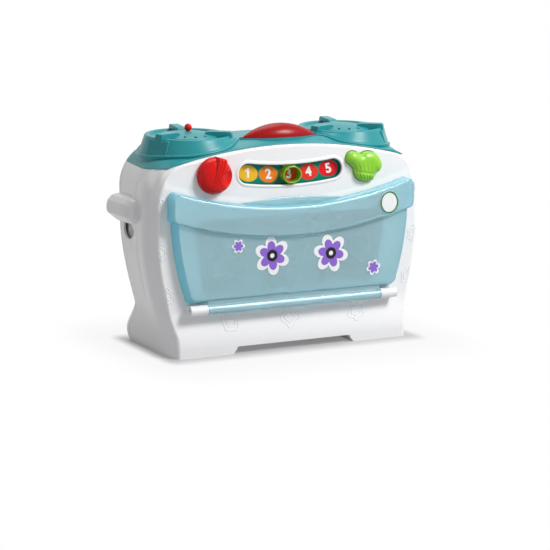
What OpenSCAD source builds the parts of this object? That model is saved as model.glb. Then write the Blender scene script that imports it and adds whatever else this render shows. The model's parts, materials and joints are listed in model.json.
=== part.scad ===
// Toy oven: a free-standing play cooker with a drop-down see-through door,
// two hob rings on top, a timer knob, a number slider and a press button.
// Millimetres. +Z is up, +X is to the right seen from the front, and the front looks along -Y.
// The origin is on the floor, under the middle of the whole toy.

/* [Body] */
// Width across the shoulders at the front
body_w = 316; // [290:1:330]
// Width across the shoulders at the back
back_w = 298; // [270:1:310]
// Depth of the body without the door
body_d = 119; // [110:1:140]
// Height of the hob deck at its middle
deck_h = 217; // [205:1:235]
// How far the door's handle band stands in front of the body
door_proud = 16; // [14:1:22]
// Wall of the white shells and the hob cover
wall = 2.5; // [1.8:0.1:3]
// Width of the foot at the front
foot_w = 277; // [250:1:284]
// Narrowest width at the back, just above the foot
waist_w = 265; // [240:1:272]
// Height of that waist
waist_z = 42; // [34:1:50]
// Width where the foot flares at the back
flare_w = 285; // [272:1:294]
// How far the foot kicks out to the front
kick = 8; // [0:1:11]
// Radius of the front top corners, seen from the front
front_corner_r = 47; // [34:1:50]
// Radius of the back top corners, seen from the front
back_corner_r = 43; // [30:1:48]
// Radius of the upright back edges, seen from above
back_edge_r = 24; // [12:1:28]
// Distance from the front face to the seam between the two shells
seam_depth = 95; // [85:1:98]

/* [Foot arch] */
// Width of the arch under the body at the floor
arch_w = 142; // [100:1:150]
// Height of the arch
arch_h = 7.5; // [4:0.5:10]
// How much narrower the arch is at its top, each side
arch_slant = 5; // [0:0.5:8]

/* [Hob] */
// Height of the line where the cover meets the white shell, at the middle
split_h = 210.5; // [208:0.5:212]
// Radius of that line
split_r = 594; // [560:1:640]
// Radius of the deck across the hob
deck_r = 816; // [700:1:1000]
// Distance between the middles of the two rings
ring_pitch = 179; // [176:1:186]
// Radius of a ring at its top
ring_r = 45; // [40:0.5:46]
// Radius of a ring at its foot
ring_foot_r = 51; // [47:0.5:52]
// Distance from the front face to the middle of the rings
ring_depth = 58; // [57:0.5:62]
// Height of a ring's middle
ring_h = 221; // [219:0.5:225]
// Lean of the rings towards the front, in degrees
ring_lean = 2.5; // [0:0.5:4]
// Depth of the dish inside a ring
dish_deep = 2.6; // [1.5:0.1:3]
// Height of the dish's domed middle over the ring
dome_h = 2.8; // [2:0.1:3]
// Height of a pan rest over the ring
rest_h = 4.4; // [3:0.2:6]
// Width of a pan rest
rest_w = 9.5; // [6:0.5:12]
// Angle of the first pan rest, in degrees
rest_turn = 85; // [0:1:119]
// Radius of the sound holes
sound_r = 1.1; // [0.6:0.1:1.6]

/* [Light] */
// Length of the red lens
lens_w = 88; // [70:1:92]
// Height of the red lens
lens_h = 14.7; // [10:0.1:15.5]
// Distance from the front face to the middle of the lens
lens_depth = 28; // [27:0.5:32]
// Wall of the lens
lens_wall = 1.8; // [1.2:0.1:2.4]

/* [Door] */
// Width of the door at its base, under the handle band
door_w = 274; // [262:1:276]
// Height of the door's bottom edge
door_z = 54.5; // [54:0.1:56]
// Height of the door's top edge at the middle
door_top = 150; // [148:0.5:153]
// Radius of the door's hollow top edge
door_top_r = 443; // [400:1:600]
// Height of the handle band
band_h = 32.5; // [26:0.5:36]
// Width over the handle band
band_w = 280; // [276:1:284]
// Radius of the door's side edges
door_side_r = 270; // [240:1:400]
// Wall of the door
door_wall = 2.2; // [1.6:0.1:2.6]
// How far the window stands in front of the body
window_proud = 11; // [10:0.5:12]
// Gap between the door's rim and the body
door_gap = 0.6; // [0.4:0.1:1]
// Draft of the door's side walls
door_draft = 3.5; // [1:0.5:5]
// Height of the finger tab over the door's top edge
tab_h = 7.7; // [4:0.1:9]
// Width of the finger tab
tab_w = 118; // [60:1:130]
// Height of the hinge over the floor
hinge_z = 49; // [48:0.5:49]
// Distance of the hinge in front of the body
hinge_proud = 9; // [8.5:0.5:10]
// Radius of the hinge tube
tube_r = 5.3; // [4.6:0.1:5.6]
// Length of the hinge tube
tube_len = 200.8; // [160:0.1:204]
// Length of each white hinge lug
lug_len = 19; // [12:0.5:22]
// Radius of the hinge rod
rod_r = 1.5; // [1:0.1:2]
// Running clearance of shafts
run = 0.05; // [0.02:0.01:0.08]

/* [Controls] */
// Height of the middle of the timer knob
knob_z = 184.2; // [183:0.1:188]
// Distance of the timer knob from the middle
knob_x = 88; // [86:0.1:94]
// Radius of the timer knob
knob_r = 19; // [16:0.5:20]
// How far the timer knob stands out
knob_proud = 14.5; // [11:0.5:15]
// Turn of the knob's pointer from upright, in degrees
pointer_turn = 7; // [0:1:30]
// Radius of the knob's stem
stem_r = 5; // [4:0.1:6]
// Radius of the switch shaft
shaft_r = 3; // [2:0.1:3.5]
// Height of the middle of the press button
hat_z = 184.4; // [183:0.5:187]
// Distance of the press button from the middle
hat_x = 83.4; // [81:0.1:88]
// How far the press button stands out
hat_proud = 7; // [4:0.5:10]
// Travel of the press button
hat_travel = 2.5; // [1.5:0.1:2.6]
// Radius of the number slot's middle line
slot_r = 360; // [300:1:440]
// Height of the slot's middle line at its lowest
slot_z = 180.3; // [178:0.1:182]
// Half angle of the slot between its round ends, in degrees
slot_angle = 7.9; // [7.6:0.1:8]
// Angle between two numbers, in degrees
step_angle = 3.72; // [3:0.01:3.76]
// Height of the slot
slot_h = 20.5; // [18:0.1:21]
// Width of the ring's wall
ring_band = 1.7; // [1.2:0.1:2.4]
// How far the ring stands out of the slot
ring_proud = 3.5; // [1:0.1:6]
// Radius of the red ball button
ball_r = 3.75; // [3:0.05:4.5]
// Height of the ball's middle over the ring
ball_lift = 7; // [6.6:0.1:8]
// Travel of the red ball button
ball_travel = 2; // [1:0.1:2.2]

/* [Oven] */
// Width of the oven's mouth
mouth_w = 220; // [180:1:224]
// Height of the mouth's lower edge
mouth_z = 62; // [60:0.5:70]
// Height of the mouth's upper edge
mouth_top = 139; // [120:0.5:141]
// Depth of the oven behind the front face
oven_d = 66; // [40:1:68]
// Wall of the oven liner
liner_wall = 2; // [1.4:0.1:2.4]

/* [Grips] */
// How far a side grip stands out of the body
grip_proud = 10; // [5:0.5:14]
// Height of the middle of a grip
grip_z = 146; // [140:1:150]
// Height of a grip
grip_h = 28; // [20:1:30]
// Length of a grip, front to back
grip_len = 30; // [22:1:34]
// Distance from the front face to the middle of a grip
grip_depth = 75; // [60:1:76]
// Depth of the finger pocket under a grip
pocket_deep = 9; // [6:0.5:10]
// Height of the finger pocket
pocket_h = 17; // [12:0.5:20]

/* [Batteries] */
// Radius of a battery
cell_r = 7.2; // [7:0.05:7.3]
// Length of a battery
cell_len = 50; // [49:0.1:50.5]
// Distance between two batteries
cell_pitch = 15.4; // [15:0.1:16]
// Height of the lowest battery
cell_z = 25; // [24:0.5:30]

/* [Hidden] */
$fn = 48;
big_fn = 720;
eps = 0.01;
body_depth_all = body_d + door_proud;
y_face = -body_depth_all / 2 + door_proud;
y_back = y_face + body_d;
y_seam = y_face + seam_depth;
y_inner = y_face + wall;
y_ring = y_face + ring_depth;
y_lens = y_face + lens_depth;
y_hinge = y_face - hinge_proud;
y_window = y_face - window_proud;
badge_thick = 0.8;
y_band = y_face - door_proud + badge_thick;
badge_r = 11;
y_rim = y_face - door_gap;
ring_x = ring_pitch / 2;
slot_cz = slot_z + slot_r;
split_cz = split_h - split_r;
deck_cz = deck_h - deck_r;
lip_rise = 0.15;
lip_y = y_face + 4;
rise_len = 18;
fn_corner = 6;
lens_z = deck_h - 0.6;
lens_skirt = 7.5;
dish_under = -dish_deep - wall - 0.4;
hole_ring_r = 19;
ring_low = -28;
board_thick = 1.6;
board_y = y_inner + 15;
board_low = 159.5;
board_high = 193;
board_left = -113;
board_right = 112;
// Places of the posts behind the front wall: the control board's and the number panel's
board_posts = [[-108, 164], [107, 164], [-70, 163], [70, 163]];
panel_posts = [[-60.5, 173], [60.5, 173], [-30, 159.5], [30, 159.5]];
panel_y = y_inner + 3.5;
panel_thick = 2;
panel_w = 125;
panel_low = 157;
screw_r = 1.4;
head_r = 3;
small_screw_r = 1.1;
small_screw_len = 7;
small_head_r = 2.4;
small_head = 1.6;
small_hole_r = 1.3;
post_r = 3.8;
small_post_r = 3;
web = 5;
slide_gap = 0.35;
slider_r = slot_h / 2 - slide_gap;
tab_y = y_inner + 0.3;
tab_thick = 2.5;
tab_reach = 7;
contact_thick = 1.6;
track_y = tab_y + tab_thick + contact_thick + 0.7;
track_in = slot_r - slot_h / 2 - tab_reach + 0.7;
track_out = track_in + 5;
knob_gap = 0.6;
shaft_front = y_face - 7;
shaft_back = board_y - 1.5;
switch_half = 6.5;
flange_y = y_inner + 0.3;
flange_thick = 1.5;
push_half = 3.1;
push_high = 3.5;
push_pin_r = 1.7;
plunger_y = board_y - push_high - 1.1;
ball_board_z = dish_under - 10.5;
ball_flange = 5.8;
ball_plunger = ball_board_z + 3.6;
liner_flange = 9;
liner_screw_places = [[mouth_w / 2 + 4.5, 85], [mouth_w / 2 + 4.5, 125]];
main_y = y_back - 34;
main_half = 60;
main_low = 88;
main_high = 152;
// Places of the main board's posts
main_posts = [[-50, 95], [50, 95], [-50, 145], [50, 145]];
grip_y = y_face + grip_depth;
grip_low = grip_z - grip_h / 2;
grip_fit = 0.2;
grip_root = 18;
pocket_w = 24;
pocket_wall = 1.5;
power_x = 78;
power_z = 150;
power_nub = 3.8;
power_travel = 4;
power_plate = 13;
power_board_y = y_back - 9.5;
power_post_x = power_plate + power_travel + 3.5;
bay_half = cell_len / 2 + 8;
bay_low = cell_z - 10.5;
bay_high = cell_z + 2 * cell_pitch + 20.2;
bay_wall = 2.5;
bay_deep = 18;
cell_y = y_back - wall - bay_deep + cell_r + 0.3;
cell_cap = 1.2;
contact_sheet = 0.5;
badge_x = 108;
badge_z = 146.5;
// Places of the posts that hold the two shells together: half distance and height
post_places = [[128, 70], [128, 160], [104, 15]];
// Leads that the body holds all the way: their points are chosen by hand
lead_y = y_back - 25.2;
battery_lead = [[28, lead_y, 74], [28, lead_y - 2.3, 75.5], [29, lead_y - 3.8, 78], [30, lead_y - 4.8, 82],
                [30, lead_y - 6.3, 86], [30, main_y + board_thick + 0.75, 90]];
speaker_lead = [[ring_x - 12.5, y_ring, 198], [73, y_ring + 2, 196], [68, y_ring + 7, 190],
                [61, y_ring + 12, 178], [55, y_ring + 16, 165], [48, main_y - 8, 156],
                [44, main_y - 5, 152], [41, main_y - 2.5, 149], [40, main_y - 0.7, 146]];

// ---------- shared shapes ----------

function clamp01(v) = max(0, min(1, v));
function ease(v) = (1 - cos(180 * clamp01(v))) / 2;
function mix(a, b, t) = a + (b - a) * t;
function arc_height(x, r, cz) = cz + sqrt(r * r - x * x);

// Half width of the body at height z, at the front and at the back
function front_half(z) = mix(foot_w, body_w, sin(90 * clamp01((z - 20) / 105))) / 2;
function back_low(z) = mix(waist_w, flare_w, ease((waist_z - z) / (waist_z * 2 / 3))) / 2;
function foot_tuck(z) = 4.5 * pow(clamp01(1 - z * 3 / waist_z), 2);
function back_high(z) = mix(waist_w, back_w, sin(90 * clamp01((z - waist_z) / 98))) / 2;
function back_half(z) = z < waist_z ? back_low(z) - foot_tuck(z) : back_high(z);
function half_at(z, t) = mix(front_half(z), back_half(z), t);

// 0 at the front of the side walls, 1 behind the seam
function along(y) = clamp01((y - y_face - 20) / (seam_depth - 10));

// Height of the body's top over x: the split line in front rises to the deck
function rise(y) = lip_rise + (1 - lip_rise) * ease((y - lip_y) / rise_len);
function top_at(x, y) = mix(arc_height(x, split_r, split_cz), arc_height(x, deck_r, deck_cz),
                            y < lip_y ? 0 : rise(y));
function corner_r(y) = mix(front_corner_r, back_corner_r, along(y));

side_steps = [0, 0.03, 0.09, 0.15, 0.21, 0.27, 0.34, 0.44, 0.56, 0.7, 0.84];

// Right half of the body's outline at depth y, from the floor up to the middle of the top
function right_half(y, steps) =
  let (t = along(y), r = corner_r(y), cx = half_at(deck_h, t) - r, cz = top_at(cx, y) - r)
  concat(
    [for (s = steps) [half_at(s * cz, t), s * cz]],
    [for (a = [0 : 90 / fn_corner : 89]) [cx + r * cos(a), cz + r * sin(a)]],
    [for (k = [4 : -1 : 0]) [cx * k / 4, top_at(cx * k / 4, y)]]
  );

// The same outline drawn in by gaps at the sides, the top and the bottom
function drawn_in(p, side, top, bottom) =
  [p[0] * (1 - side * 2 / body_w), bottom + p[1] * (1 - (top + bottom) / deck_h)];

function kick_at(y, z) = kick * ease((48 - z) / 40) * (1 - ease((y - y_face) / 45));

// A station is [y, side gap, top gap, bottom gap]
function station_ring(st, steps) =
  let (r = [for (p = right_half(st[0], steps)) drawn_in(p, st[1], st[2], st[3])], m = len(r))
  concat(
    [for (p = r) [p[0], st[0] - kick_at(st[0], p[1]), p[1]]],
    [for (j = [m - 2 : -1 : 0]) [-r[j][0], st[0] - kick_at(st[0], r[j][1]), r[j][1]]]
  );

// Skin through the stations, closed at both ends by strips between the two sides
module body_loft(stations, steps = side_steps) {
  rings = [for (st = stations) station_ring(st, steps)];
  n = len(rings[0]);
  m = (n + 1) / 2;
  last = (len(stations) - 1) * n;
  skin = [for (s = [0 : len(stations) - 2]) for (i = [0 : n - 1])
    [s * n + i, s * n + (i + 1) % n, (s + 1) * n + (i + 1) % n, (s + 1) * n + i]];
  front = concat([for (i = [0 : m - 3]) [n - 1 - i, n - 2 - i, i + 1, i]], [[m, m - 1, m - 2]]);
  back = concat([for (i = [0 : m - 3]) [last + i, last + i + 1, last + n - 2 - i, last + n - 1 - i]],
                [[last + m - 2, last + m - 1, last + m]]);
  polyhedron([for (ring = rings) each ring], concat(front, skin, back), convexity = 6);
}

// Skin through flat outlines [x, z], each at its own y
module flat_loft(outlines, ys) {
  n = len(outlines[0]);
  last = (len(ys) - 1) * n;
  skin = [for (s = [0 : len(ys) - 2]) for (i = [0 : n - 1])
    [s * n + i, s * n + (i + 1) % n, (s + 1) * n + (i + 1) % n, (s + 1) * n + i]];
  points = [for (s = [0 : len(ys) - 1]) each [for (p = outlines[s]) [p[0], ys[s], p[1]]]];
  polyhedron(points, concat([[for (i = [n - 1 : -1 : 0]) i]], skin, [[for (i = [0 : n - 1]) last + i]]),
             convexity = 6);
}

// Prism of a front-view shape from y0 to y1
module front_prism(y0, y1) translate([0, y1, 0]) rotate([90, 0, 0]) linear_extrude(y1 - y0) children();

// Round bar along Y or X
module y_bar(x, z, r, y0, y1) translate([x, y0, z]) rotate([-90, 0, 0]) cylinder(r = r, h = y1 - y0);
module x_bar(y, z, r, x0, x1) translate([x0, y, z]) rotate([0, 90, 0]) cylinder(r = r, h = x1 - x0);

module box(x0, x1, y0, y1, z0, z1) translate([x0, y0, z0]) cube([x1 - x0, y1 - y0, z1 - z0]);

module both_sides() {
  children();
  mirror([1, 0, 0]) children();
}

// Round tube through a list of points
function unit(v) = v / norm(v);
function way(pts, i) = unit(pts[min(i + 1, len(pts) - 1)] - pts[max(i - 1, 0)]);
function across(d) = unit(cross(d, abs(d[2]) < 0.9 ? [0, 0, 1] : [1, 0, 0]));
module wire(pts, r, sides = 6) {
  n = len(pts);
  ring = [for (i = [0 : n - 1]) let (d = way(pts, i), u = across(d), v = cross(d, u))
    for (k = [0 : sides - 1]) pts[i] + r * (cos(360 * k / sides) * u + sin(360 * k / sides) * v)];
  skin = [for (i = [0 : n - 2]) for (k = [0 : sides - 1])
    [i * sides + k, i * sides + (k + 1) % sides, (i + 1) * sides + (k + 1) % sides, (i + 1) * sides + k]];
  polyhedron(ring, concat([[for (k = [sides - 1 : -1 : 0]) k]], skin,
             [[for (k = [0 : sides - 1]) (n - 1) * sides + k]]));
}

// ---------- white shells and hob cover ----------

// Everything under the line where the cover starts
module under_split(grow = 0)
  translate([0, -200, split_cz]) rotate([-90, 0, 0]) cylinder(r = split_r + grow, h = 400, $fn = big_fn);

module arch(grow = 0)
  front_prism(-100, 100) polygon([
    [-arch_w / 2 - grow, -1], [-arch_w / 2 - grow + arch_slant, arch_h + grow],
    [arch_w / 2 + grow - arch_slant, arch_h + grow], [arch_w / 2 + grow, -1]
  ]);

function back_station(a, grow) =
  [y_back - grow - (back_edge_r - grow) * (1 - sin(a)), grow + (back_edge_r - grow) * (1 - cos(a)),
   grow + (back_edge_r - grow) * (1 - cos(a)) / 2, grow];

front_outer = concat([[y_face, 5, 5, 0], [y_face + 1.2, 2.4, 2.2, 0], [y_face + 4, 0.6, 0.4, 0]],
                     [for (d = [9, 14, 22, 44, 70]) [y_face + d, 0, 0, 0]], [[y_seam, 0, 0, 0]]);
front_inner = concat([[y_inner, wall + 2, wall + 1.6, wall], [y_inner + 4, wall + 0.3, wall, wall]],
                     [for (d = [22, 44, 70, seam_depth + 1]) [y_face + d, wall, wall, wall]]);
back_outer = concat([[y_seam, 0, 0, 0]], [for (a = [15 : 25 : 90]) back_station(a, 0)]);
back_inner = concat([[y_seam - 1, wall, wall, wall]], [for (a = [20 : 35 : 90]) back_station(a, wall)]);

module shell_skin(outer, inner) difference() {
  intersection() {
    body_loft(outer);
    under_split();
  }
  difference() {
    body_loft(inner);
    arch(wall);
  }
  arch();
}

// Rounded mouth of the oven
module mouth(grow) {
  r = 12;
  x = mouth_w / 2 + grow - r;
  hull() for (s = [-1, 1]) {
    translate([s * (x - 8), mouth_z - grow + r]) circle(r, $fn = 32);
    translate([s * x, mouth_top + grow - r]) circle(r, $fn = 32);
  }
}

// Bent slot with round ends: grow widens it
module bent_slot(grow) {
  h = slot_h / 2 + grow;
  polygon(concat(
    [for (a = [-slot_angle : slot_angle / 8 : slot_angle + eps])
      [(slot_r + h) * sin(a), slot_cz - (slot_r + h) * cos(a)]],
    [for (b = [15 : 15 : 165])
      [slot_r * sin(slot_angle) + h * sin(b), slot_cz - slot_r * cos(slot_angle) - h * cos(b)]],
    [for (a = [slot_angle : -slot_angle / 8 : -slot_angle - eps])
      [(slot_r - h) * sin(a), slot_cz - (slot_r - h) * cos(a)]],
    [for (b = [165 : -15 : 15])
      [-slot_r * sin(slot_angle) - h * sin(b), slot_cz - slot_r * cos(slot_angle) - h * cos(b)]]
  ));
}

// Outline of the press button: a slanting band under a small puff on the left and a large one
module puff_outline(grow) translate([hat_x, hat_z]) {
  translate([-13.3, 9]) circle(8.3 + grow);
  translate([-3.5, 6.3]) circle(7.2 + grow);
  translate([11.7, 4]) circle(12.2 + grow);
  translate([2, -7.8]) rotate(-10) square([25 + 2 * grow, 13.5 + 2 * grow], center = true);
}

module hinge_lugs(bore) for (s = [-1, 1]) difference() {
  x0 = min(s * (tube_len / 2 + 0.5), s * (tube_len / 2 + 0.5 + lug_len));
  union() {
    x_bar(y_hinge, hinge_z, tube_r - 0.2, x0, x0 + lug_len);
    box(x0, x0 + lug_len, y_hinge, y_face + 1, hinge_z - tube_r + 0.9, hinge_z + tube_r - 0.9);
  }
  x_bar(y_hinge, hinge_z, bore, x0 - 1, x0 + lug_len + 1);
}

module shell_posts() both_sides() for (p = post_places)
  y_bar(p[0], p[1], post_r, y_inner - 1 - kick_at(y_inner, p[1]), y_seam);

module post_bores() both_sides() for (p = post_places) y_bar(p[0], p[1], screw_r, y_seam - 16, y_seam + 1);

// Opening in the side for the grip and the pocket under it
module grip_opening() {
  x0 = body_w / 2 - grip_root - 12;
  x1 = body_w / 2 + 2;
  box(x0, x1, grip_y - grip_len / 2 - grip_fit, grip_y + grip_len / 2 + grip_fit,
      grip_low - grip_fit, grip_low + grip_h + grip_fit);
  box(x0, x1, grip_y - pocket_w / 2, grip_y + pocket_w / 2, grip_low - pocket_h, grip_low + 1);
}

module front_shell() color([0.93, 0.93, 0.93]) {
  difference() {
    union() {
      shell_skin(front_outer, front_inner);
      hinge_lugs(rod_r);
      difference() {
        union() {
          shell_posts();
          for (p = board_posts) y_bar(p[0], p[1], small_post_r, y_inner - 1, board_y);
          for (p = panel_posts) y_bar(p[0], p[1], 2.5, y_inner - 1, panel_y);
        }
        post_bores();
        for (p = board_posts) y_bar(p[0], p[1], small_screw_r, board_y - small_screw_len - 1, board_y + 1);
      }
    }
    front_prism(y_face - 9, y_inner + 1) mouth(0);
    front_prism(y_face - 9, y_inner + 1) bent_slot(0);
    front_prism(y_face - 9, y_inner + 5) puff_outline(0.5);
    y_bar(-knob_x, knob_z, stem_r + run, y_face - 9, y_inner + 1);
    both_sides() {
      grip_opening();
      for (p = liner_screw_places) y_bar(p[0], p[1], small_screw_r, y_inner - 1.4, y_inner + 1);
    }
  }
}

module rear_posts() intersection() {
  both_sides() for (p = post_places) y_bar(p[0], p[1], post_r + 1.2, y_seam, y_back);
  body_loft(back_outer);
}

module rear_shell() color([0.93, 0.93, 0.93]) difference() {
  union() {
    shell_skin(back_outer, back_inner);
    rear_posts();
    for (p = main_posts) y_bar(p[0], p[1], small_post_r, main_y + board_thick, y_back - 1);
    for (s = [-1, 1]) y_bar(power_x + s * power_post_x, power_z, 2, power_board_y, y_back - 1);
  }
  both_sides() for (p = post_places) {
    y_bar(p[0], p[1], screw_r + 0.3, y_seam - 1, y_back + 1);
    y_bar(p[0], p[1], head_r + 0.2, y_seam + web, y_back + 1);
  }
  for (p = main_posts) y_bar(p[0], p[1], small_screw_r, main_y, main_y + small_screw_len + 2);
  box(-bay_half, bay_half, y_back - 10, y_back + 1, bay_low, bay_high);
  reach = power_nub + power_travel + 0.2;
  box(power_x - reach, power_x + reach, y_back - 10, y_back + 1, power_z - 3, power_z + 3);
}

// One pan rest, seen from its side: a level bar from the dome to the rim
module pan_rest() rotate([90, 0, 0]) linear_extrude(rest_w, center = true)
  polygon([[18, -4.5], [18, 1], [20, rest_h - 0.8], [22, rest_h - 0.3], [ring_r - 1, rest_h],
           [ring_r + 0.6, rest_h - 1.4], [ring_r + 2, -4.5]]);

// Ring and dish of one burner, about its own middle
module ring_outer() rotate_extrude() polygon([
  [0, ring_low], [ring_foot_r, ring_low], [ring_foot_r, -15], [ring_r, -1.2], [ring_r - 1.2, 0],
  [ring_r - 4.5, 0], [ring_r - 6, -dish_deep], [ring_r - 11, -dish_deep], [ring_r - 14, 0.3 - dish_deep / 2],
  [hole_ring_r, dome_h / 2], [9, dome_h], [0, dome_h]
]);
module ring_inner() rotate_extrude() polygon([
  [0, ring_low - 1], [ring_foot_r - wall, ring_low - 1], [ring_foot_r - wall, -15], [ring_r - wall, dish_under],
  [0, dish_under]
]);
module at_ring(side) translate([side * ring_x, y_ring, ring_h]) rotate([ring_lean, 0, 0]) children();

// Plan shape of the lens: two equal arcs
module lens_plan(grow) {
  r = (pow(lens_w / 2, 2) + pow(lens_h, 2)) / (2 * lens_h);
  intersection() {
    translate([0, r - lens_h]) circle(r + grow, $fn = 180);
    translate([0, lens_h - r]) circle(r + grow, $fn = 180);
  }
}

cover_steps = [0.8];
cover_outer = concat([for (d = [4, 7, 10, 13, 17, 22, 44, 70, seam_depth]) [y_face + d, d < 9 ? 0.5 : 0, 0, 0]],
                     [for (a = [15 : 25 : 90]) back_station(a, 0)]);
cover_inner = concat([for (d = [7, 10, 13, 17, 22, 44, 70, seam_depth]) [y_face + d, wall, wall, 0]],
                     [for (a = [20 : 35 : 90]) back_station(a, wall)]);

module hob_cover() color([0.16, 0.56, 0.59]) {
  difference() {
    union() {
      difference() {
        union() {
          body_loft(cover_outer, cover_steps);
          for (s = [-1, 1]) at_ring(s) ring_outer();
        }
        body_loft(cover_inner, cover_steps);
        for (s = [-1, 1]) at_ring(s) ring_inner();
        under_split();
      }
      for (s = [-1, 1]) at_ring(s) for (k = [0 : 2]) rotate(rest_turn + 120 * k) pan_rest();
      translate([0, y_lens, lens_z - lens_skirt]) linear_extrude(lens_skirt + 0.6) difference() {
        lens_plan(2);
        lens_plan(0.3);
      }
      at_ring(-1) for (x = [-12, 12]) translate([x, 0, ball_board_z])
        cylinder(r = 2.2, h = dish_under + 0.5 - ball_board_z);
      at_ring(1) for (a = [30, 150, 270]) rotate(a) translate([33, 0, dish_under - 1.2])
        cylinder(r = 2.5, h = 1.7);
    }
    translate([0, y_lens, lens_z - 20]) linear_extrude(40) lens_plan(0.3);
    for (s = [-1, 1]) at_ring(s) for (a = [-135, -90, -45]) rotate(a) translate([hole_ring_r, 0, -12])
      cylinder(r = sound_r, h = 20);
    at_ring(-1) {
      translate([0, 0, -12]) cylinder(r = 2 + run, h = 20);
      translate([0, 0, ball_lift - ball_r - ball_travel - 0.3]) cylinder(r = ball_r + 0.4, h = 10);
    }
  }
}

// Spindle along X whose outline is an arc, drawn in by g and cut short at its tips
module lens_spindle(g, tip) {
  r = (pow(lens_w / 2, 2) + pow(lens_h, 2)) / (2 * lens_h);
  rotate([0, 90, 0]) rotate_extrude($fn = 96) intersection() {
    translate([lens_h - r - g, 0]) circle(r, $fn = 360);
    translate([0, tip - lens_w / 2]) square([lens_h + 1, lens_w - 2 * tip]);
  }
}

module light_lens() color([0.78, 0.06, 0.08]) translate([0, y_lens, lens_z]) {
  difference() {
    lens_spindle(0, 0.5);
    lens_spindle(lens_wall, 4);
    translate([-lens_w, -lens_w, -2 * lens_w]) cube(2 * lens_w);
  }
  translate([0, 0, -lens_skirt]) linear_extrude(lens_skirt + 0.3) difference() {
    lens_plan(-0.3);
    lens_plan(-lens_wall);
  }
}

module light_board() color([0.1, 0.45, 0.25]) {
  z1 = lens_z - lens_skirt;
  box(-25, 25, y_lens - lens_h - 2, y_lens + lens_h + 2, z1 - board_thick, z1);
  for (x = [-12, 0, 12]) translate([x, y_lens, z1]) cylinder(r = 2.5, h = 6);
}

// ---------- number slider ----------

module number_panel() color([0, 0.55, 0.45]) front_prism(panel_y, panel_y + panel_thick) difference() {
  translate([-panel_w / 2, panel_low]) square([panel_w, 40]);
  translate([0, slot_cz]) circle(track_out + 0.8, $fn = big_fn);
  puff_outline(3);
}

module slider_ring() color([0.47, 0.67, 0.16]) difference() {
  union() {
    y_bar(0, slot_z, slider_r, y_face - ring_proud, tab_y + tab_thick);
    box(-6, 6, tab_y, tab_y + tab_thick, slot_z, slot_z + slot_h / 2 + tab_reach);
    box(-5.5, 5.5, tab_y, tab_y + tab_thick, slot_z - slot_h / 2 - tab_reach, slot_z);
  }
  y_bar(0, slot_z, slider_r - ring_band, y_face - ring_proud - 1, tab_y + tab_thick + 1);
}

module slider_contact() color([0.8, 0.65, 0.3]) translate([0, tab_y + tab_thick, slot_cz - track_out]) {
  box(-3, 3, 0, 0.4, 0.4, 4.6);
  box(-1.5, 1.5, 0.4, contact_thick + 0.4, 2.6, 3.4);
}

module slider_board() color([0.1, 0.45, 0.25]) front_prism(track_y, track_y + board_thick) intersection() {
  translate([0, slot_cz]) difference() {
    circle(track_out, $fn = big_fn);
    circle(track_in, $fn = big_fn);
  }
  reach = slot_r * sin(slot_angle + 2.3);
  polygon([[0, slot_cz], [-reach, slot_cz - slot_r], [reach, slot_cz - slot_r]]);
}

// ---------- timer knob ----------

module timer_knob() color([0.83, 0.13, 0.12]) translate([-knob_x, y_face - knob_gap, knob_z]) difference() {
  union() {
    rotate([90, 0, 0]) rotate_extrude() polygon([
      [0, 0], [knob_r, 0], [knob_r, 3], [knob_r - 1.5, 6], [knob_r - 6, 9.5], [0, 11.5]
    ]);
    rotate([90, pointer_turn, 0]) linear_extrude(knob_proud - knob_gap) hull() {
      translate([0, knob_r - 4.5]) circle(4, $fn = 32);
      translate([0, 6 - knob_r]) circle(5, $fn = 32);
    }
    rotate([-90, 0, 0]) cylinder(r = stem_r, h = 5.6);
  }
  rotate([-90, 0, 0]) translate([0, 0, shaft_front - y_face + knob_gap]) cylinder(r = shaft_r, h = 30);
}

module knob_shaft() color([0.75, 0.75, 0.77]) y_bar(-knob_x, knob_z, shaft_r, shaft_front, shaft_back);

module rotary_switch() color([0.2, 0.2, 0.22]) difference() {
  union() {
    box(-knob_x - switch_half, -knob_x + switch_half, board_y - 7, board_y,
        knob_z - switch_half, knob_z + switch_half);
    y_bar(-knob_x, knob_z, shaft_r + 1.8, board_y - 10, board_y - 6);
  }
  y_bar(-knob_x, knob_z, shaft_r + run, board_y - 11, shaft_back + 0.2);
}

// ---------- press button ----------

module press_button() color([0.52, 0.8, 0.13]) {
  front_prism(y_face - hat_proud, flange_y) puff_outline(0);
  front_prism(flange_y, flange_y + flange_thick) intersection() {
    puff_outline(1.8);
    translate([hat_x - 30, hat_z - 25]) square([60, 35]);
  }
  y_bar(hat_x, hat_z, 3, flange_y + flange_thick, plunger_y - hat_travel - 0.2);
}

module press_spring() color([0.75, 0.75, 0.77]) difference() {
  y_bar(hat_x, hat_z, 6.2, flange_y + flange_thick, board_y);
  y_bar(hat_x, hat_z, 5, flange_y, board_y + 1);
}

module press_switch() color([0.2, 0.2, 0.22]) {
  box(hat_x - push_half, hat_x + push_half, board_y - push_high, board_y, hat_z - push_half, hat_z + push_half);
  y_bar(hat_x, hat_z, push_pin_r, plunger_y, board_y - push_high);
}

module control_board() color([0.1, 0.45, 0.25]) difference() {
  box(board_left, board_right, board_y, board_y + board_thick, board_low, board_high);
  for (p = board_posts) y_bar(p[0], p[1], small_hole_r, board_y - 1, board_y + board_thick + 1);
}

module small_screw(x, z, y_head, side) {
  y0 = side > 0 ? y_head - small_screw_len : y_head;
  y1 = side > 0 ? y_head : y_head - small_head;
  y_bar(x, z, small_screw_r, y0, y0 + small_screw_len);
  y_bar(x, z, small_head_r, y1, y1 + small_head);
}

module control_board_screws() color([0.75, 0.75, 0.77])
  for (p = board_posts) small_screw(p[0], p[1], board_y + board_thick, 1);

// ---------- red ball button ----------

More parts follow.
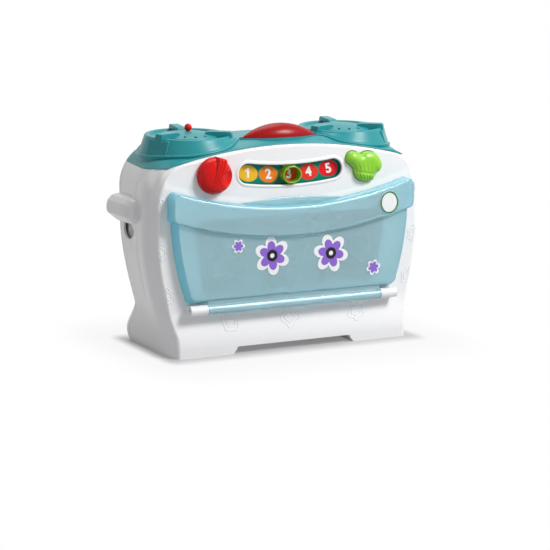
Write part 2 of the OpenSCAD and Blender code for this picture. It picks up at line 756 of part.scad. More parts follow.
module ball_button() color([0.8, 0.1, 0.16]) at_ring(-1) {
  translate([0, 0, ball_lift]) sphere(ball_r);
  translate([0, 0, ball_plunger + ball_travel + 0.2])
    cylinder(r = 2, h = ball_lift - ball_plunger - ball_travel - 0.2);
  translate([0, 0, dish_under - 2]) cylinder(r = ball_flange, h = 1.7);
}

module ball_spring() color([0.75, 0.75, 0.77]) at_ring(-1) difference() {
  translate([0, 0, ball_board_z]) cylinder(r = 5.5, h = dish_under - 2 - ball_board_z);
  translate([0, 0, ball_board_z - 1]) cylinder(r = 4.6, h = 20);
}

module ball_switch() color([0.2, 0.2, 0.22]) at_ring(-1) translate([0, 0, ball_board_z]) {
  translate([-push_half, -push_half, 0]) cube([2 * push_half, 2 * push_half, 2.5]);
  translate([0, 0, 2.5]) cylinder(r = push_pin_r, h = 1.1);
}

module ball_board() color([0.1, 0.45, 0.25]) at_ring(-1)
  translate([-15, -7, ball_board_z - board_thick]) cube([30, 14, board_thick]);

// ---------- speaker ----------

module under_dish() at_ring(1) translate([0, 0, dish_under]) children();

module speaker_frame() color([0.25, 0.25, 0.27]) under_dish() rotate_extrude() polygon([
  [0, -16], [13, -16], [13, -10.2], [25, -2.7], [25, -1.2], [28.5, -1.2], [28.5, 0], [23.5, 0], [23.5, -1.5],
  [12, -8.5], [0, -8.5]
]);

module speaker_cone() color([0.12, 0.12, 0.13]) under_dish() rotate_extrude() polygon([
  [0, -8.2], [8, -8.2], [22.9, -1.2], [23.2, -1.2], [23.2, -0.5], [8, -7.2], [0, -5]
]);

module speaker_clamp() color([0.93, 0.93, 0.93]) under_dish() translate([0, 0, -2.7]) difference() {
  cylinder(r = 36, h = 1.5);
  translate([0, 0, -1]) cylinder(r = 25.4, h = 4);
}

// ---------- door ----------

function door_top_at(x) = door_top + door_top_r - sqrt(door_top_r * door_top_r - x * x);
function door_half(z) = door_w / 2 - door_side_r + sqrt(pow(door_side_r, 2) - pow(max(0, door_top - z), 2));

// Outline of the window tray, drawn in by g
function tray_edge(g) =
  let (r = 8, zb = door_z + g, cx = door_half(zb + r) - g - r, hx = door_half(door_top) - g, cap = 3 + g,
    right = concat(
      [for (a = [-90 : 22.5 : -1]) [cx + r * cos(a), zb + r + r * sin(a)]],
      [for (k = [0 : 5]) let (z = mix(zb + r, door_top, k / 6)) [door_half(z) - g, z]],
      [for (a = [0 : 30 : 90]) [hx - r + r * cos(a), door_top_at(hx - r) - cap - r + r * sin(a)]],
      [for (k = [7 : -1 : 0]) [(hx - r) * k / 8, door_top_at((hx - r) * k / 8) - cap]]
    ), m = len(right))
  concat(right, [for (j = [m - 2 : -1 : 0]) [-right[j][0], right[j][1]]]);

// Outline of the handle band, drawn in by g
function band_edge(g) =
  let (r = 7, hx = band_w / 2 - g, drop = band_h - g,
    right = concat(
      [for (k = [0 : 8]) let (x = (hx - r) * k / 8) [x, door_top_at(x) - drop]],
      [for (a = [-60 : 30 : -1]) [hx - r + r * cos(a), door_top_at(hx - r) - drop + r + r * sin(a)]],
      [for (a = [0 : 22.5 : 90]) [hx - r + r * cos(a), door_top_at(hx - r) - g - r + r * sin(a)]],
      [for (k = [7 : -1 : 0]) let (x = (hx - r) * k / 8) [x, door_top_at(x) - g]]
    ), m = len(right))
  concat(right, [for (j = [m - 2 : -1 : 1]) [-right[j][0], right[j][1]]]);

module door() color([0.53, 0.76, 0.82, 0.6]) {
  up_r = (pow(tab_w / 2, 2) + pow(tab_h - 4, 2)) / (2 * (tab_h - 4));
  difference() {
    union() {
      flat_loft([for (g = [door_draft + 1.2, door_draft, 0.8 * door_draft, 0]) tray_edge(g)],
                [y_window, y_window + 0.8, y_window + 2.5, y_rim]);
      flat_loft([for (g = [3, 1, 0, 0]) band_edge(g)], [y_band, y_band + 1.2, y_band + 4, y_rim]);
    }
    flat_loft([for (g = [door_draft + door_wall, door_wall]) tray_edge(g)],
              [y_window + door_wall, y_rim + 1]);
    flat_loft([for (g = [door_wall + 1, door_wall]) band_edge(g)], [y_band + door_wall, y_rim + 1]);
  }
  front_prism(y_rim - door_wall, y_rim) intersection() {
    translate([0, door_top + tab_h - up_r]) circle(up_r, $fn = big_fn);
    translate([0, door_top + door_top_r]) circle(door_top_r + 1.5, $fn = big_fn);
  }
  difference() {
    union() {
      x_bar(y_hinge, hinge_z, tube_r, -tube_len / 2, tube_len / 2);
      box(-tube_len / 2, tube_len / 2, y_hinge - 1, y_hinge + 2, hinge_z, door_z + door_draft + 1);
    }
    x_bar(y_hinge, hinge_z, rod_r + run, -tube_len, tube_len);
  }
}

module hinge_rod() color([0.75, 0.75, 0.77])
  x_bar(y_hinge, hinge_z, rod_r, -tube_len / 2 - lug_len, tube_len / 2 + lug_len);

module door_badge() color([0.95, 0.95, 0.94]) front_prism(y_band - badge_thick, y_band)
  polygon([for (a = [0 : 7.5 : 352.5]) [badge_x + badge_r * cos(a), badge_z + (badge_r + 1) * sin(a)]]);

// ---------- oven ----------

module oven_liner() color([0.92, 0.92, 0.92]) difference() {
  union() {
    front_prism(y_inner, y_face + oven_d + liner_wall) mouth(liner_wall);
    front_prism(y_inner, y_inner + 2) mouth(liner_flange);
  }
  front_prism(y_inner - 1, y_face + oven_d) mouth(0);
  both_sides() for (p = liner_screw_places) y_bar(p[0], p[1], small_hole_r, y_inner - 1, y_inner + 3);
}

module liner_screws() color([0.75, 0.75, 0.77]) both_sides() for (p = liner_screw_places) {
  y_bar(p[0], p[1], small_screw_r, y_inner - 1.3, y_inner + 2);
  y_bar(p[0], p[1], small_head_r, y_inner + 2, y_inner + 2 + small_head);
}

// ---------- side grips ----------

module grip_shape() color([0.93, 0.93, 0.93]) {
  out = body_w / 2 + grip_proud;
  inner = body_w / 2 - grip_root;
  mouth_x = back_w / 2 - wall - 1.5;
  front_prism(grip_y - grip_len / 2, grip_y + grip_len / 2) polygon([
    [inner, grip_low], [out - 12, grip_low], [out - 1, grip_low + 9], [out, grip_low + 12],
    [out, grip_low + grip_h - 11], [out - 1.5, grip_low + grip_h - 6], [out - 6, grip_low + grip_h - 1.5],
    [out - 11, grip_low + grip_h], [inner, grip_low + grip_h]
  ]);
  difference() {
    box(mouth_x - pocket_deep - pocket_wall, mouth_x,
        grip_y - pocket_w / 2 - pocket_wall, grip_y + pocket_w / 2 + pocket_wall,
        grip_low - pocket_h - pocket_wall, grip_low + 0.5);
    box(mouth_x - pocket_deep, mouth_x + 1, grip_y - pocket_w / 2, grip_y + pocket_w / 2,
        grip_low - pocket_h, grip_low);
  }
}

module right_grip() grip_shape();
module left_grip() mirror([1, 0, 0]) grip_shape();

// ---------- power and batteries ----------

// Left edge, lower edge, side and height of each chip on the main board
chips = [[-30, 125, 14, 2], [5, 120, 18, 2.4], [32, 128, 10, 1.6], [-10, 100, 9, 3]];

module main_board() color([0.1, 0.45, 0.25]) {
  difference() {
    box(-main_half, main_half, main_y, main_y + board_thick, main_low, main_high);
    for (p = main_posts) y_bar(p[0], p[1], small_hole_r, main_y - 1, main_y + board_thick + 1);
  }
  for (c = chips) box(c[0], c[0] + c[2], main_y - c[3], main_y, c[1], c[1] + c[2]);
}

module main_board_screws() color([0.75, 0.75, 0.77])
  for (p = main_posts) small_screw(p[0], p[1], main_y, -1);

module battery_box() color([0.2, 0.2, 0.22]) {
  y0 = y_back - wall - bay_deep;
  difference() {
    box(-bay_half - bay_wall, bay_half + bay_wall, y0 - bay_wall, y_back - wall,
        bay_low - bay_wall, bay_high + bay_wall);
    box(-bay_half + 2, bay_half - 2, y0, y_back, bay_low, bay_high - 10);
    y_bar(0, bay_high - 5, 1.2, y_back - 14, y_back);
  }
}

module batteries() for (k = [0 : 2]) {
  z = cell_z + k * cell_pitch;
  tip = k % 2 == 0 ? 1 : -1;
  color([0.25, 0.25, 0.28]) x_bar(cell_y, z, cell_r, -cell_len / 2 + (tip < 0 ? cell_cap : 0),
                                 cell_len / 2 - (tip > 0 ? cell_cap : 0));
  color([0.75, 0.75, 0.77]) x_bar(cell_y, z, 2.6, tip > 0 ? cell_len / 2 - cell_cap : -cell_len / 2,
                                 tip > 0 ? cell_len / 2 : -cell_len / 2 + cell_cap);
}

module battery_contacts() color([0.75, 0.75, 0.77]) {
  wall_x = bay_half - 2;
  for (s = [-1, 1]) for (k = [0 : 2]) {
    z = cell_z + k * cell_pitch;
    mirror([s > 0 ? 0 : 1, 0, 0]) {
      x_bar(cell_y, z, 3, cell_len / 2, wall_x - contact_sheet);
      box(wall_x - contact_sheet, wall_x, cell_y - 6, cell_y + 6, z - 6.5, z + 6.5);
    }
  }
}

module battery_door() color([0.93, 0.93, 0.93]) difference() {
  box(-bay_half + 0.3, bay_half - 0.3, y_back - wall, y_back, bay_low + 0.3, bay_high - 0.3);
  y_bar(0, bay_high - 5, 1.5, y_back - wall - 1, y_back + 1);
  y_bar(0, bay_high - 5, head_r + 0.2, y_back - 1.2, y_back + 1);
}

module battery_door_screw() color([0.75, 0.75, 0.77]) {
  y_bar(0, bay_high - 5, 1.2, y_back - 12, y_back - 1.2);
  y_bar(0, bay_high - 5, head_r, y_back - 1.2, y_back - 0.2);
}

module power_knob() color([0.2, 0.2, 0.22]) {
  y1 = y_back - wall - 0.3;
  box(power_x - power_plate, power_x + power_plate, y1 - 1.8, y1, power_z - 4.5, power_z + 4.5);
  box(power_x - power_nub, power_x + power_nub, y1, y_back - 0.3, power_z - 2.7, power_z + 2.7);
}

module power_switch() color([0.3, 0.3, 0.32]) {
  y1 = power_board_y;
  half = power_post_x + 3;
  box(power_x - half, power_x + half, y1 - 1.5, y1, power_z - 4, power_z + 4);
  box(power_x - 9, power_x + 9, y1 - 6, y_back - wall - 2.5, power_z - 3.5, power_z + 3.5);
}

module shell_screws() color([0.75, 0.75, 0.77]) both_sides() for (p = post_places) {
  y_bar(p[0], p[1], screw_r, y_seam - 14, y_seam + web);
  y_bar(p[0], p[1], head_r, y_seam + web, y_seam + web + 2);
}

module battery_wires() color([0.75, 0.1, 0.1]) for (s = [-1, 1])
  wire([for (p = battery_lead) [s * p[0], p[1], p[2]]], 0.7);

module speaker_wires() color([0.1, 0.1, 0.1]) for (dx = [0, 3])
  wire([for (p = speaker_lead) p + [dx, 0, 0]], 0.6);

front_shell();
rear_shell();
hob_cover();
light_lens();
light_board();
number_panel();
slider_ring();
slider_contact();
slider_board();
timer_knob();
knob_shaft();
rotary_switch();
press_button();
press_spring();
press_switch();
control_board();
control_board_screws();
ball_button();
ball_spring();
ball_switch();
ball_board();
speaker_frame();
speaker_cone();
speaker_clamp();
door();
hinge_rod();
door_badge();
oven_liner();
liner_screws();
left_grip();
right_grip();
main_board();
main_board_screws();
battery_box();
batteries();
battery_contacts();
battery_door();
battery_door_screw();
power_knob();
power_switch();
shell_screws();
battery_wires();
speaker_wires();
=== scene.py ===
"""Looks of a toy oven: moulded shells, a see-through door, hob rings, knob, slider and buttons."""

import json
import math

import bmesh
import bpy
from bpy.props import FloatProperty, FloatVectorProperty, IntProperty, PointerProperty
from bpy.types import NodeSocket, Operator, Panel, PropertyGroup
from mathutils import Matrix, Vector


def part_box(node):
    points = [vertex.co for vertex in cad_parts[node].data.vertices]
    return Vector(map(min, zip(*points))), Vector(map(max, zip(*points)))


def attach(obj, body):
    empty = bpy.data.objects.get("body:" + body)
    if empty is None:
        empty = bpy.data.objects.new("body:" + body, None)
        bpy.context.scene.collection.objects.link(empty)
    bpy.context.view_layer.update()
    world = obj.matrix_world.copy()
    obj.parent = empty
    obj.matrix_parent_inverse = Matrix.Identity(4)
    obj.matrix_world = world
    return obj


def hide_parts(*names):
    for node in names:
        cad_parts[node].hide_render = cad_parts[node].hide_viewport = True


bl_info = {
    "name": "Toy Oven",
    "version": (1, 0, 0),
    "blender": (4, 5, 0),
    "location": "3D View > Sidebar > Toy Oven",
    "description": "Builds the shells, door, hob and controls of a toy oven around its frame",
    "category": "Add Mesh",
}

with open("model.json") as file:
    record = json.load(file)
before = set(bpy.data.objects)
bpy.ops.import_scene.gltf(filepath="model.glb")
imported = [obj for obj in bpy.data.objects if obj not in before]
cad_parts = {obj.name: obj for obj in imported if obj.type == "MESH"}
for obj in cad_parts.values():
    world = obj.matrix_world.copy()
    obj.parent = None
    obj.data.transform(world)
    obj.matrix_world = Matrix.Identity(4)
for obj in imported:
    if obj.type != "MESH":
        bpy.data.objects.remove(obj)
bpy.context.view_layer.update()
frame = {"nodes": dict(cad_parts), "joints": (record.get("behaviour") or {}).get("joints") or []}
JOINTS = {joint["name"]: joint for joint in frame["joints"]}
MM = 0.001


# ---------- sizes of the form, in millimetres ----------


def joint_place(name):
    return [c / MM for c in JOINTS[name]["pos_m"]]


def node_box(name):
    return [[c / MM for c in end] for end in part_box(name)]


KNOB_X, FACE_Y, KNOB_Z = joint_place("knob_turn")
HINGE_Y, HINGE_Z = joint_place("door_hinge")[1:]
SLOT_TOP = joint_place("slider_arc")[2]
BACK_Y = node_box("rear_shell")[1][1]
SEAM_Y = FACE_Y + 95
SEAM_OPEN = 0.6
WALL = 2.5
INNER_Y = FACE_Y + WALL
BODY_W, BACK_W, FOOT_W, WAIST_W, FLARE_W = 316, 298, 277, 265, 285
FOOT_Z, FRONT_RISE, WAIST_Z, BACK_RISE = 20, 105, 42, 98
BLEND_Y, BLEND_LEN = FACE_Y + 20, 85
DECK_H, DECK_R = 217, 816
SPLIT_H, SPLIT_R = 211.5, 520
FRONT_CORNER, BACK_CORNER, BACK_EDGE = 47, 43, 24
FACE_REACH = 10.5
TOP_EDGE, TOP_REACH = 9, 4.7
KICK = 8
LIP_Y, LIP_RISE, RISE_LEN = FACE_Y + 4, 0.15, 18
ARCH_W, ARCH_H, ARCH_SLANT, ARCH_R = 142, 7.5, 5, 2.0
SPAN_X, SPAN_Y = 170, 90
RING_X, RING_Y, RING_Z = 89.5, FACE_Y + 58, 221
RING_FOOT, RING_LEAN = 51, math.radians(2.5)
RIM_R, RIM_LOW = 45.1, -1.5
BEAD_LEVEL, BEAD_SLOPE_X, BEAD_SLOPE_Y = -16.2, 4.3, 2.5
DISH_DEEP, DOME_H, REST_H, REST_W = 2.6, 2.8, 4.4, 9.5
REST_TURNS = (85, 205, 325)
HOLE_TURNS = (-122, -97, -72)
LENS_Y, LENS_Z, LENS_W, LENS_H = FACE_Y + 28, DECK_H - 0.6, 88, 14.7
LENS_R = ((LENS_W / 2) ** 2 + LENS_H**2) / (2 * LENS_H)
DOOR_W, DOOR_Z, DOOR_TOP, DOOR_TOP_R, DOOR_SIDE_R = 274, 54.5, 150, 443, 270
BAND_H, BAND_W = 32.5, 280
RIM_Y, WINDOW_Y, BAND_Y = FACE_Y - 0.6, FACE_Y - 11, FACE_Y - 15.2
DOOR_WALL, DRAFT = 2.2, 3.5
TUBE_R, TUBE_LEN, LUG_LEN, ROD_R = 5.3, 200.8, 19, 1.5
TAB_H, TAB_W = 7.7, 118
FASCIA_SUNK, FASCIA_HALF, FASCIA_R, FASCIA_GAP = 1.0, 141, 14, 7.5
LEAN = 0.15
HAT_X, HAT_Z = 83.4, 184.4
SLOT_R, SLOT_Z, SLOT_H, SLOT_TURN, STEP_TURN = 360, SLOT_TOP - 360, 20.5, 7.9, 3.72
GRIP_Y, GRIP_LOW, GRIP_H, GRIP_LEN = FACE_Y + 75, 132, 28, 30
GRIP_OUT = node_box("right_grip")[1][0]
POCKET_W, POCKET_H = 24, 17
MOUTH_W, MOUTH_LOW, MOUTH_TOP, MOUTH_R = 220, 62, 139, 12
BADGE_X, BADGE_Z = 108, 146.5
FLOWERS = ((-27.5, 99.5, 20.5), (41, 97, 20.5), (-66, 112, 7.5), (92, 78, 8.5))
EYELESS_R = 10
PUFF_OUT, PUFF_EDGE = 6.5, 9
NUMERAL_SCALE, NUMERAL_BOLD, NUMERAL_THICK = 1.38, 0.42, 0.05
WIRE_R, PRESS_COIL_R, BALL_COIL_R, BALL_COIL_H, BALL_COIL_LOW = 0.4, 5.6, 5.05, 9, -16
SCREW_APART = 12
CARD_HALF = 6000


def length(name, about, value):
    return FloatProperty(name=name, description=about, default=value, unit="LENGTH")


def number(name, about, value, low, high):
    return IntProperty(name=name, description=about, default=value, min=low, max=high)


def colour(name, about, value):
    about = f"Colour of {about}"
    return FloatVectorProperty(name=name, description=about, default=value, size=3, subtype="COLOR")


class OvenLooks(PropertyGroup):
    """Finishing sizes and colours that can be changed without touching the form."""

    edge: length("Face edge", "Rounding of the front's upright edges", 0.028)
    seam: length("Seam", "Width of the lines between shells", 0.0004)
    bead: length("Bead", "Radius of the bead at a ring's foot", 0.0018)
    relief: length("Relief", "Height of the raised line figures", 0.0005)
    numeral: length("Numeral", "Height of the numerals", 0.0102)
    pleats: number("Pleats", "Pleats on the push button's band", 7, 3, 15)
    coils: number("Coils", "Turns of each return spring", 6, 3, 12)
    white: colour("White", "the shells, grips and badge", (0.83, 0.83, 0.84))
    teal: colour("Teal", "the hob cover", (0.018, 0.260, 0.285))
    door: colour("Door blue", "the door's faces", (0.63, 0.88, 0.94))
    # Deeper blue painted on the door's edge faces: painted shade in place of the deeper tint that the clear
    # wall shows edge-on
    door_rim: colour("Door rim blue", "the door's edges", (0.38, 0.86, 1.0))
    badge: colour("Badge green", "the ring round the badge", (0.01, 0.22, 0.08))
    red: colour("Red", "the knob and the ball", (0.68, 0.004, 0.003))
    lens: colour("Lens red", "the light's lens", (0.44, 0.001, 0.003))
    # Darker red painted on the lens's flange: painted shade on what is the same red plastic as the lens
    lens_edge: colour("Lens edge", "the line round the lens", (0.20, 0.0, 0.003))
    lime: colour("Lime", "the push button", (0.24, 0.58, 0.012))
    ring: colour("Ring green", "the sliding ring", (0.20, 0.42, 0.02))
    panel: colour("Panel green", "the panel behind the slot", (0.0, 0.21, 0.145))
    purple: colour("Print purple", "the flowers' petals", (0.27, 0.14, 0.60))
    dark: colour("Print dark", "the flowers' middles", (0.015, 0.014, 0.02))


def looks():
    return bpy.context.scene.oven_looks


# ---------- curves and outlines ----------


def clamp01(v):
    return max(0.0, min(1.0, v))


def ease(v):
    return (1 - math.cos(math.pi * clamp01(v))) / 2


def mix(a, b, t):
    return a + (b - a) * t


def polar(r, turn, z):
    return Vector((r * math.cos(turn), r * math.sin(turn), z))


def arc(mx, mz, radius, start, end, steps):
    """Points round a middle, from one angle to another in degrees."""
    angles = [math.radians(mix(start, end, k / steps)) for k in range(steps + 1)]
    return [(mx + radius * math.cos(a), mz + radius * math.sin(a)) for a in angles]


def oval(mx, mz, rx, rz):
    return [(mx + rx * x, mz + rz * z) for x, z in arc(0, 0, 1, 0, 360, 64)[:-1]]


def star(mx, mz, outer, inner, points, turn, count=10, blunt=1.0):
    """Outline of a star with rounded tips, broader in the tip where blunt is under 1."""
    result = []
    for k in range(points * count):
        a = math.tau * k / (points * count)
        r = mix(inner, outer, ((1 + math.cos(points * a)) / 2) ** blunt)
        b = a + math.radians(turn)
        result.append((mx + r * math.cos(b), mz + r * math.sin(b)))
    return result


def whole(right):
    """Outline with its right half mirrored to the left, the points on the middle line left single."""
    return right + [(-x, z) for x, z in reversed(right) if x]


def arc_height(x, top, radius):
    return top - radius + math.sqrt(radius * radius - x * x)


# ---------- the body's form ----------


def front_half(z):
    return mix(FOOT_W, BODY_W, math.sin(math.pi / 2 * clamp01((z - FOOT_Z) / FRONT_RISE))) / 2


def back_half(z):
    if z < WAIST_Z:
        flare = mix(WAIST_W, FLARE_W, ease((WAIST_Z - z) / (WAIST_Z * 2 / 3))) / 2
        return flare - 4.5 * clamp01(1 - z * 3 / WAIST_Z) ** 2
    return mix(WAIST_W, BACK_W, math.sin(math.pi / 2 * clamp01((z - WAIST_Z) / BACK_RISE))) / 2


def along(y):
    return clamp01((y - BLEND_Y) / BLEND_LEN)


def half_at(z, y):
    return mix(front_half(z), back_half(z), along(y))


def top_at(x, y):
    """Height of the top: a step from the split line to the deck, short in the middle, long by the rings."""
    reach = mix(RISE_LEN, 44, ease((abs(x) - 40) / 50))
    rise = 0.0 if y < LIP_Y else LIP_RISE + (1 - LIP_RISE) * ease((y - LIP_Y) / reach)
    return mix(arc_height(x, SPLIT_H, SPLIT_R), arc_height(x, DECK_H, DECK_R), rise)


def corner(y):
    """Radius and middle of the body's top corner at depth y."""
    r = mix(FRONT_CORNER, BACK_CORNER, along(y))
    cx = half_at(DECK_H, y) - r
    return r, cx, top_at(cx, y) - r


def surface_height(x, y):
    """Height of the hob deck over a point of the plan, its rounded corners included."""
    r, cx, cz = corner(y)
    if abs(x) <= cx:
        return top_at(x, y)
    return cz + math.sqrt(max(0.0, r * r - (abs(x) - cx) ** 2))


def kick_at(y, z):
    return KICK * ease((48 - z) / 40) * (1 - ease((y - FACE_Y) / 45))


def side_steps(count):
    return [(k / count) ** 1.25 * 0.97 for k in range(count)]


def side_dent(y, z):
    """Depth of the groove round the arched panel on the side, and of the scoop beside the grip."""
    across, up = y - FACE_Y - 23, max(0.0, z - 170)
    wide, deep = (5.5, 1.5) if across < 0 else (3.2, 0.7)
    gap = (math.hypot(across, up) - 17) / wide
    scoop = 2.0 * math.exp(-(((y - GRIP_Y + 16) / 9) ** 2 + ((z - GRIP_LOW + 9) / 8) ** 2))
    return deep * math.exp(-(gap**2)) * ease((z - 46) / 16) + scoop


def body_ring(y, side, top, bottom, steps=None, corner_count=14, top_count=26, dent=0.0):
    """Closed outline of the body at depth y, drawn in at its sides, top and bottom."""
    r, cx, cz = corner(y)
    right = [(half_at(s * cz, y), s * cz) for s in steps or side_steps(44)]
    right += arc(cx, cz, r, 0, 90, corner_count)[:-1]
    right += [(x, top_at(x, y)) for x in (cx * k / top_count for k in range(top_count, -1, -1))]
    ring = []
    for x, z in right:
        nz = bottom + z * (1 - (top + bottom) / DECK_H)
        nx = x * (1 - side * (1 - 0.5 * dent * ease((z - 165) / 30)) * 2 / BODY_W)
        nx -= dent * side_dent(y, nz) * ease((x - 110) / 25)
        ring.append((nx, y - kick_at(y, nz), nz))
    return ring + [(-x, py, z) for x, py, z in reversed(ring[:-1])]


def face_inset(d, edge, reach):
    """How far the outline draws in at distance d behind the front face."""
    return 0.0 if d >= edge else reach * (1 - math.sqrt(max(0.0, 1 - (1 - d / edge) ** 2)))


def back_stations(angles, grow=0):
    """Depths and insets (y, side, top, bottom) round the rear edge, for angles in degrees."""
    r, result = BACK_EDGE - grow, []
    for a in map(math.radians, angles):
        turn = r * (1 - math.cos(a))
        result.append((BACK_Y - grow - r * (1 - math.sin(a)), grow + turn, grow + turn / 2, grow))
    return result


# ---------- mesh helpers ----------


def add_object(name, data):
    obj = bpy.data.objects.new(name, data)
    bpy.context.scene.collection.objects.link(obj)
    return obj


def piece(name, verts, faces):
    mesh = bpy.data.meshes.new(name)
    mesh.from_pydata([Vector(v) * MM for v in verts], [], faces)
    mesh.update()
    return add_object(name, mesh)


def solid(name, verts, faces):
    """Closed piece, with all its faces turned outwards."""
    obj = piece(name, verts, faces)
    bm = bmesh.new()
    bm.from_mesh(obj.data)
    bmesh.ops.remove_doubles(bm, verts=bm.verts, dist=1e-7)
    bmesh.ops.recalc_face_normals(bm, faces=bm.faces)
    bm.to_mesh(obj.data)
    bm.free()
    return obj


def band_faces(n, low, high):
    """Faces between two rings of n points, which start at low and high."""
    return [(low + i, low + (i + 1) % n, high + (i + 1) % n, high + i) for i in range(n)]


def loft(name, rings, ends="flat"):
    """Skin through rings of points that run the same way: ends flat, in level strips, or joined."""
    n, last = len(rings[0]), (len(rings) - 1) * len(rings[0])
    verts = [p for ring in rings for p in ring]
    faces = []
    for low in range(0, last, n):
        faces += band_faces(n, low, low + n)
    if ends == "joined":
        faces += band_faces(n, last, 0)
    elif ends == "strips":
        m = (n + 1) // 2
        for i in range(m - 2):
            faces.append((i, i + 1, n - 2 - i, n - 1 - i)[::-1])
            faces.append((last + i, last + i + 1, last + n - 2 - i, last + n - 1 - i))
        faces.append((m - 2, m - 1, m)[::-1])
        faces.append((last + m - 2, last + m - 1, last + m))
    else:
        faces.append(tuple(range(n))[::-1])
        faces.append(tuple(range(last, last + n)))
    return solid(name, verts, faces)


def body_loft(name, stations, *detail, dent=0.0):
    """Skin of the body through stations (y, side, top, bottom), its ends closed by level strips."""
    return loft(name, [body_ring(*station, *detail, dent=dent) for station in stations], "strips")


def flat_loft(name, outlines, ys):
    """Skin through front-view outlines of (x, z) points, each at its own depth."""
    return loft(name, [[(x, y, z) for x, z in outline] for outline, y in zip(outlines, ys)])


def prism(name, outline, y0, y1):
    return flat_loft(name, [outline] * 2, (y0, y1))


def box_piece(name, low, high):
    (x0, y0, z0), (x1, y1, z1) = low, high
    return prism(name, [(x0, z0), (x1, z0), (x1, z1), (x0, z1)], y0, y1)


def round_bar(name, start, end, radius, sides=64):
    """Cylinder from one point to another."""
    a, b = Vector(start), Vector(end)
    turn = (b - a).to_track_quat("Z", "Y")
    circle = arc(0, 0, radius, 0, 360, sides)[:-1]
    return loft(name, [[p + turn @ Vector((x, y, 0)) for x, y in circle] for p in (a, b)])


def bar_x(name, x0, x1, radius):
    """Cylinder about the door's hinge line."""
    return round_bar(name, (x0, HINGE_Y, HINGE_Z), (x1, HINGE_Y, HINGE_Z), radius)


def bar_y(name, x, z, y0, y1, radius, sides=64):
    return round_bar(name, (x, y0, z), (x, y1, z), radius, sides)


def lathe(name, profile, sides, place):
    """Solid of revolution about Z of a profile of (radius, height) points, moved by place."""
    verts, faces, rows = [], [], []
    for r, z in profile:
        pole = r < 1e-6
        rows.append([len(verts)] * sides if pole else range(len(verts), len(verts) + sides))
        turns = [0] if pole else [math.tau * k / sides for k in range(sides)]
        verts += [place @ polar(0 if pole else r, turn, z) for turn in turns]
    for low, high in zip(rows, rows[1:]):
        for k in range(sides):
            j = (k + 1) % sides
            faces.append(tuple(dict.fromkeys((low[k], low[j], high[j], high[k]))))
    return solid(name, verts, faces)


def baked_mesh(obj):
    graph = bpy.context.evaluated_depsgraph_get()
    return bpy.data.meshes.new_from_object(obj.evaluated_get(graph))


def baked(obj):
    """Turns the object's modifiers into its mesh."""
    mesh, old = baked_mesh(obj), obj.data
    obj.modifiers.clear()
    obj.data = mesh
    bpy.data.meshes.remove(old)
    return obj


def settled(obj, matrix):
    """Mesh object in place of a curve or of a tree's carrier, moved by a matrix in metres."""
    name, mesh = obj.name, baked_mesh(obj)
    bpy.data.objects.remove(obj)
    mesh.transform(matrix)
    return add_object(name, mesh)


def cut(obj, *cutters, operation="DIFFERENCE"):
    """Takes closed cutters from obj, one after another, or joins them to it, and uses them up."""
    for cutter in cutters:
        step = obj.modifiers.new(operation.title(), "BOOLEAN")
        step.operation, step.solver, step.object = operation, "EXACT", cutter
        baked(obj)
        bpy.data.objects.remove(cutter)
    return obj


def fuse(obj, *parts):
    return cut(obj, *parts, operation="UNION")


def joined(name, parts):
    """One object of several meshes."""
    bm = bmesh.new()
    for part in parts:
        bm.from_mesh(part.data)
        bpy.data.objects.remove(part)
    mesh = bpy.data.meshes.new(name)
    bm.to_mesh(mesh)
    bm.free()
    return add_object(name, mesh)


def copied(obj, name, matrix):
    """Copy of an object, its mesh moved by a matrix in millimetres."""
    mesh, step = obj.data.copy(), matrix.copy()
    step.translation *= MM
    mesh.transform(step)
    if matrix.determinant() < 0:
        mesh.flip_normals()
    return add_object(name, mesh)


def mirrored(obj, name):
    return copied(obj, name, Matrix.Scale(-1, 4, (1, 0, 0)))


def rounded(obj, width, segments=3, angle=35):
    """Rounds the hard edges by width, in millimetres."""
    step = obj.modifiers.new("Edges", "BEVEL")
    step.width, step.segments = width * MM, segments
    step.limit_method, step.angle_limit = "ANGLE", math.radians(angle)
    return baked(obj)


def crisp(mesh, angle):
    mesh.shade_smooth()
    mesh.set_sharp_from_angle(angle=math.radians(angle))


def dress(obj, body, material, slot, *nodes):
    """Gives a finished piece its material and body, and hides the nodes that it stands for; its slot is not
    used.
    """
    obj.data.materials.clear()
    obj.data.materials.append(material)
    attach(obj, body)
    if nodes:
        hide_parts(*nodes)
    return obj


def finish(obj, body, material, slot, *nodes, angle=32):
    """Smooth shading with crisp edges, in which large flat faces stay flat, and the dress."""
    crisp(obj.data, angle)
    obj.modifiers.new("Normals", "WEIGHTED_NORMAL").keep_sharp = True
    return dress(obj, body, material, slot, *nodes)


def finish_white(obj, *nodes, body="case", angle=32):
    return finish(obj, body, look("white"), "shell_white", *nodes, angle=angle)


def finish_teal(obj, *nodes):
    return finish(obj, "case", look("teal"), "cover_teal", *nodes)


# ---------- materials ----------


def feed(tree, node, values):
    """Sets a node's inputs, by a link where the value is another node's output."""
    for label, value in values.items():
        if isinstance(value, NodeSocket):
            tree.links.new(value, node.inputs[label])
        else:
            node.inputs[label].default_value = value


def add_node(tree, kind, values=(), **settings):
    """New node with its settings and inputs; gives its outputs."""
    node = tree.nodes.new(kind)
    for setting, value in settings.items():
        setattr(node, setting, value)
    feed(tree, node, dict(values))
    return node.outputs


def start_material(name):
    material = bpy.data.materials.new(name)
    material.use_nodes = True
    return material, material.node_tree, material.node_tree.nodes["Principled BSDF"]


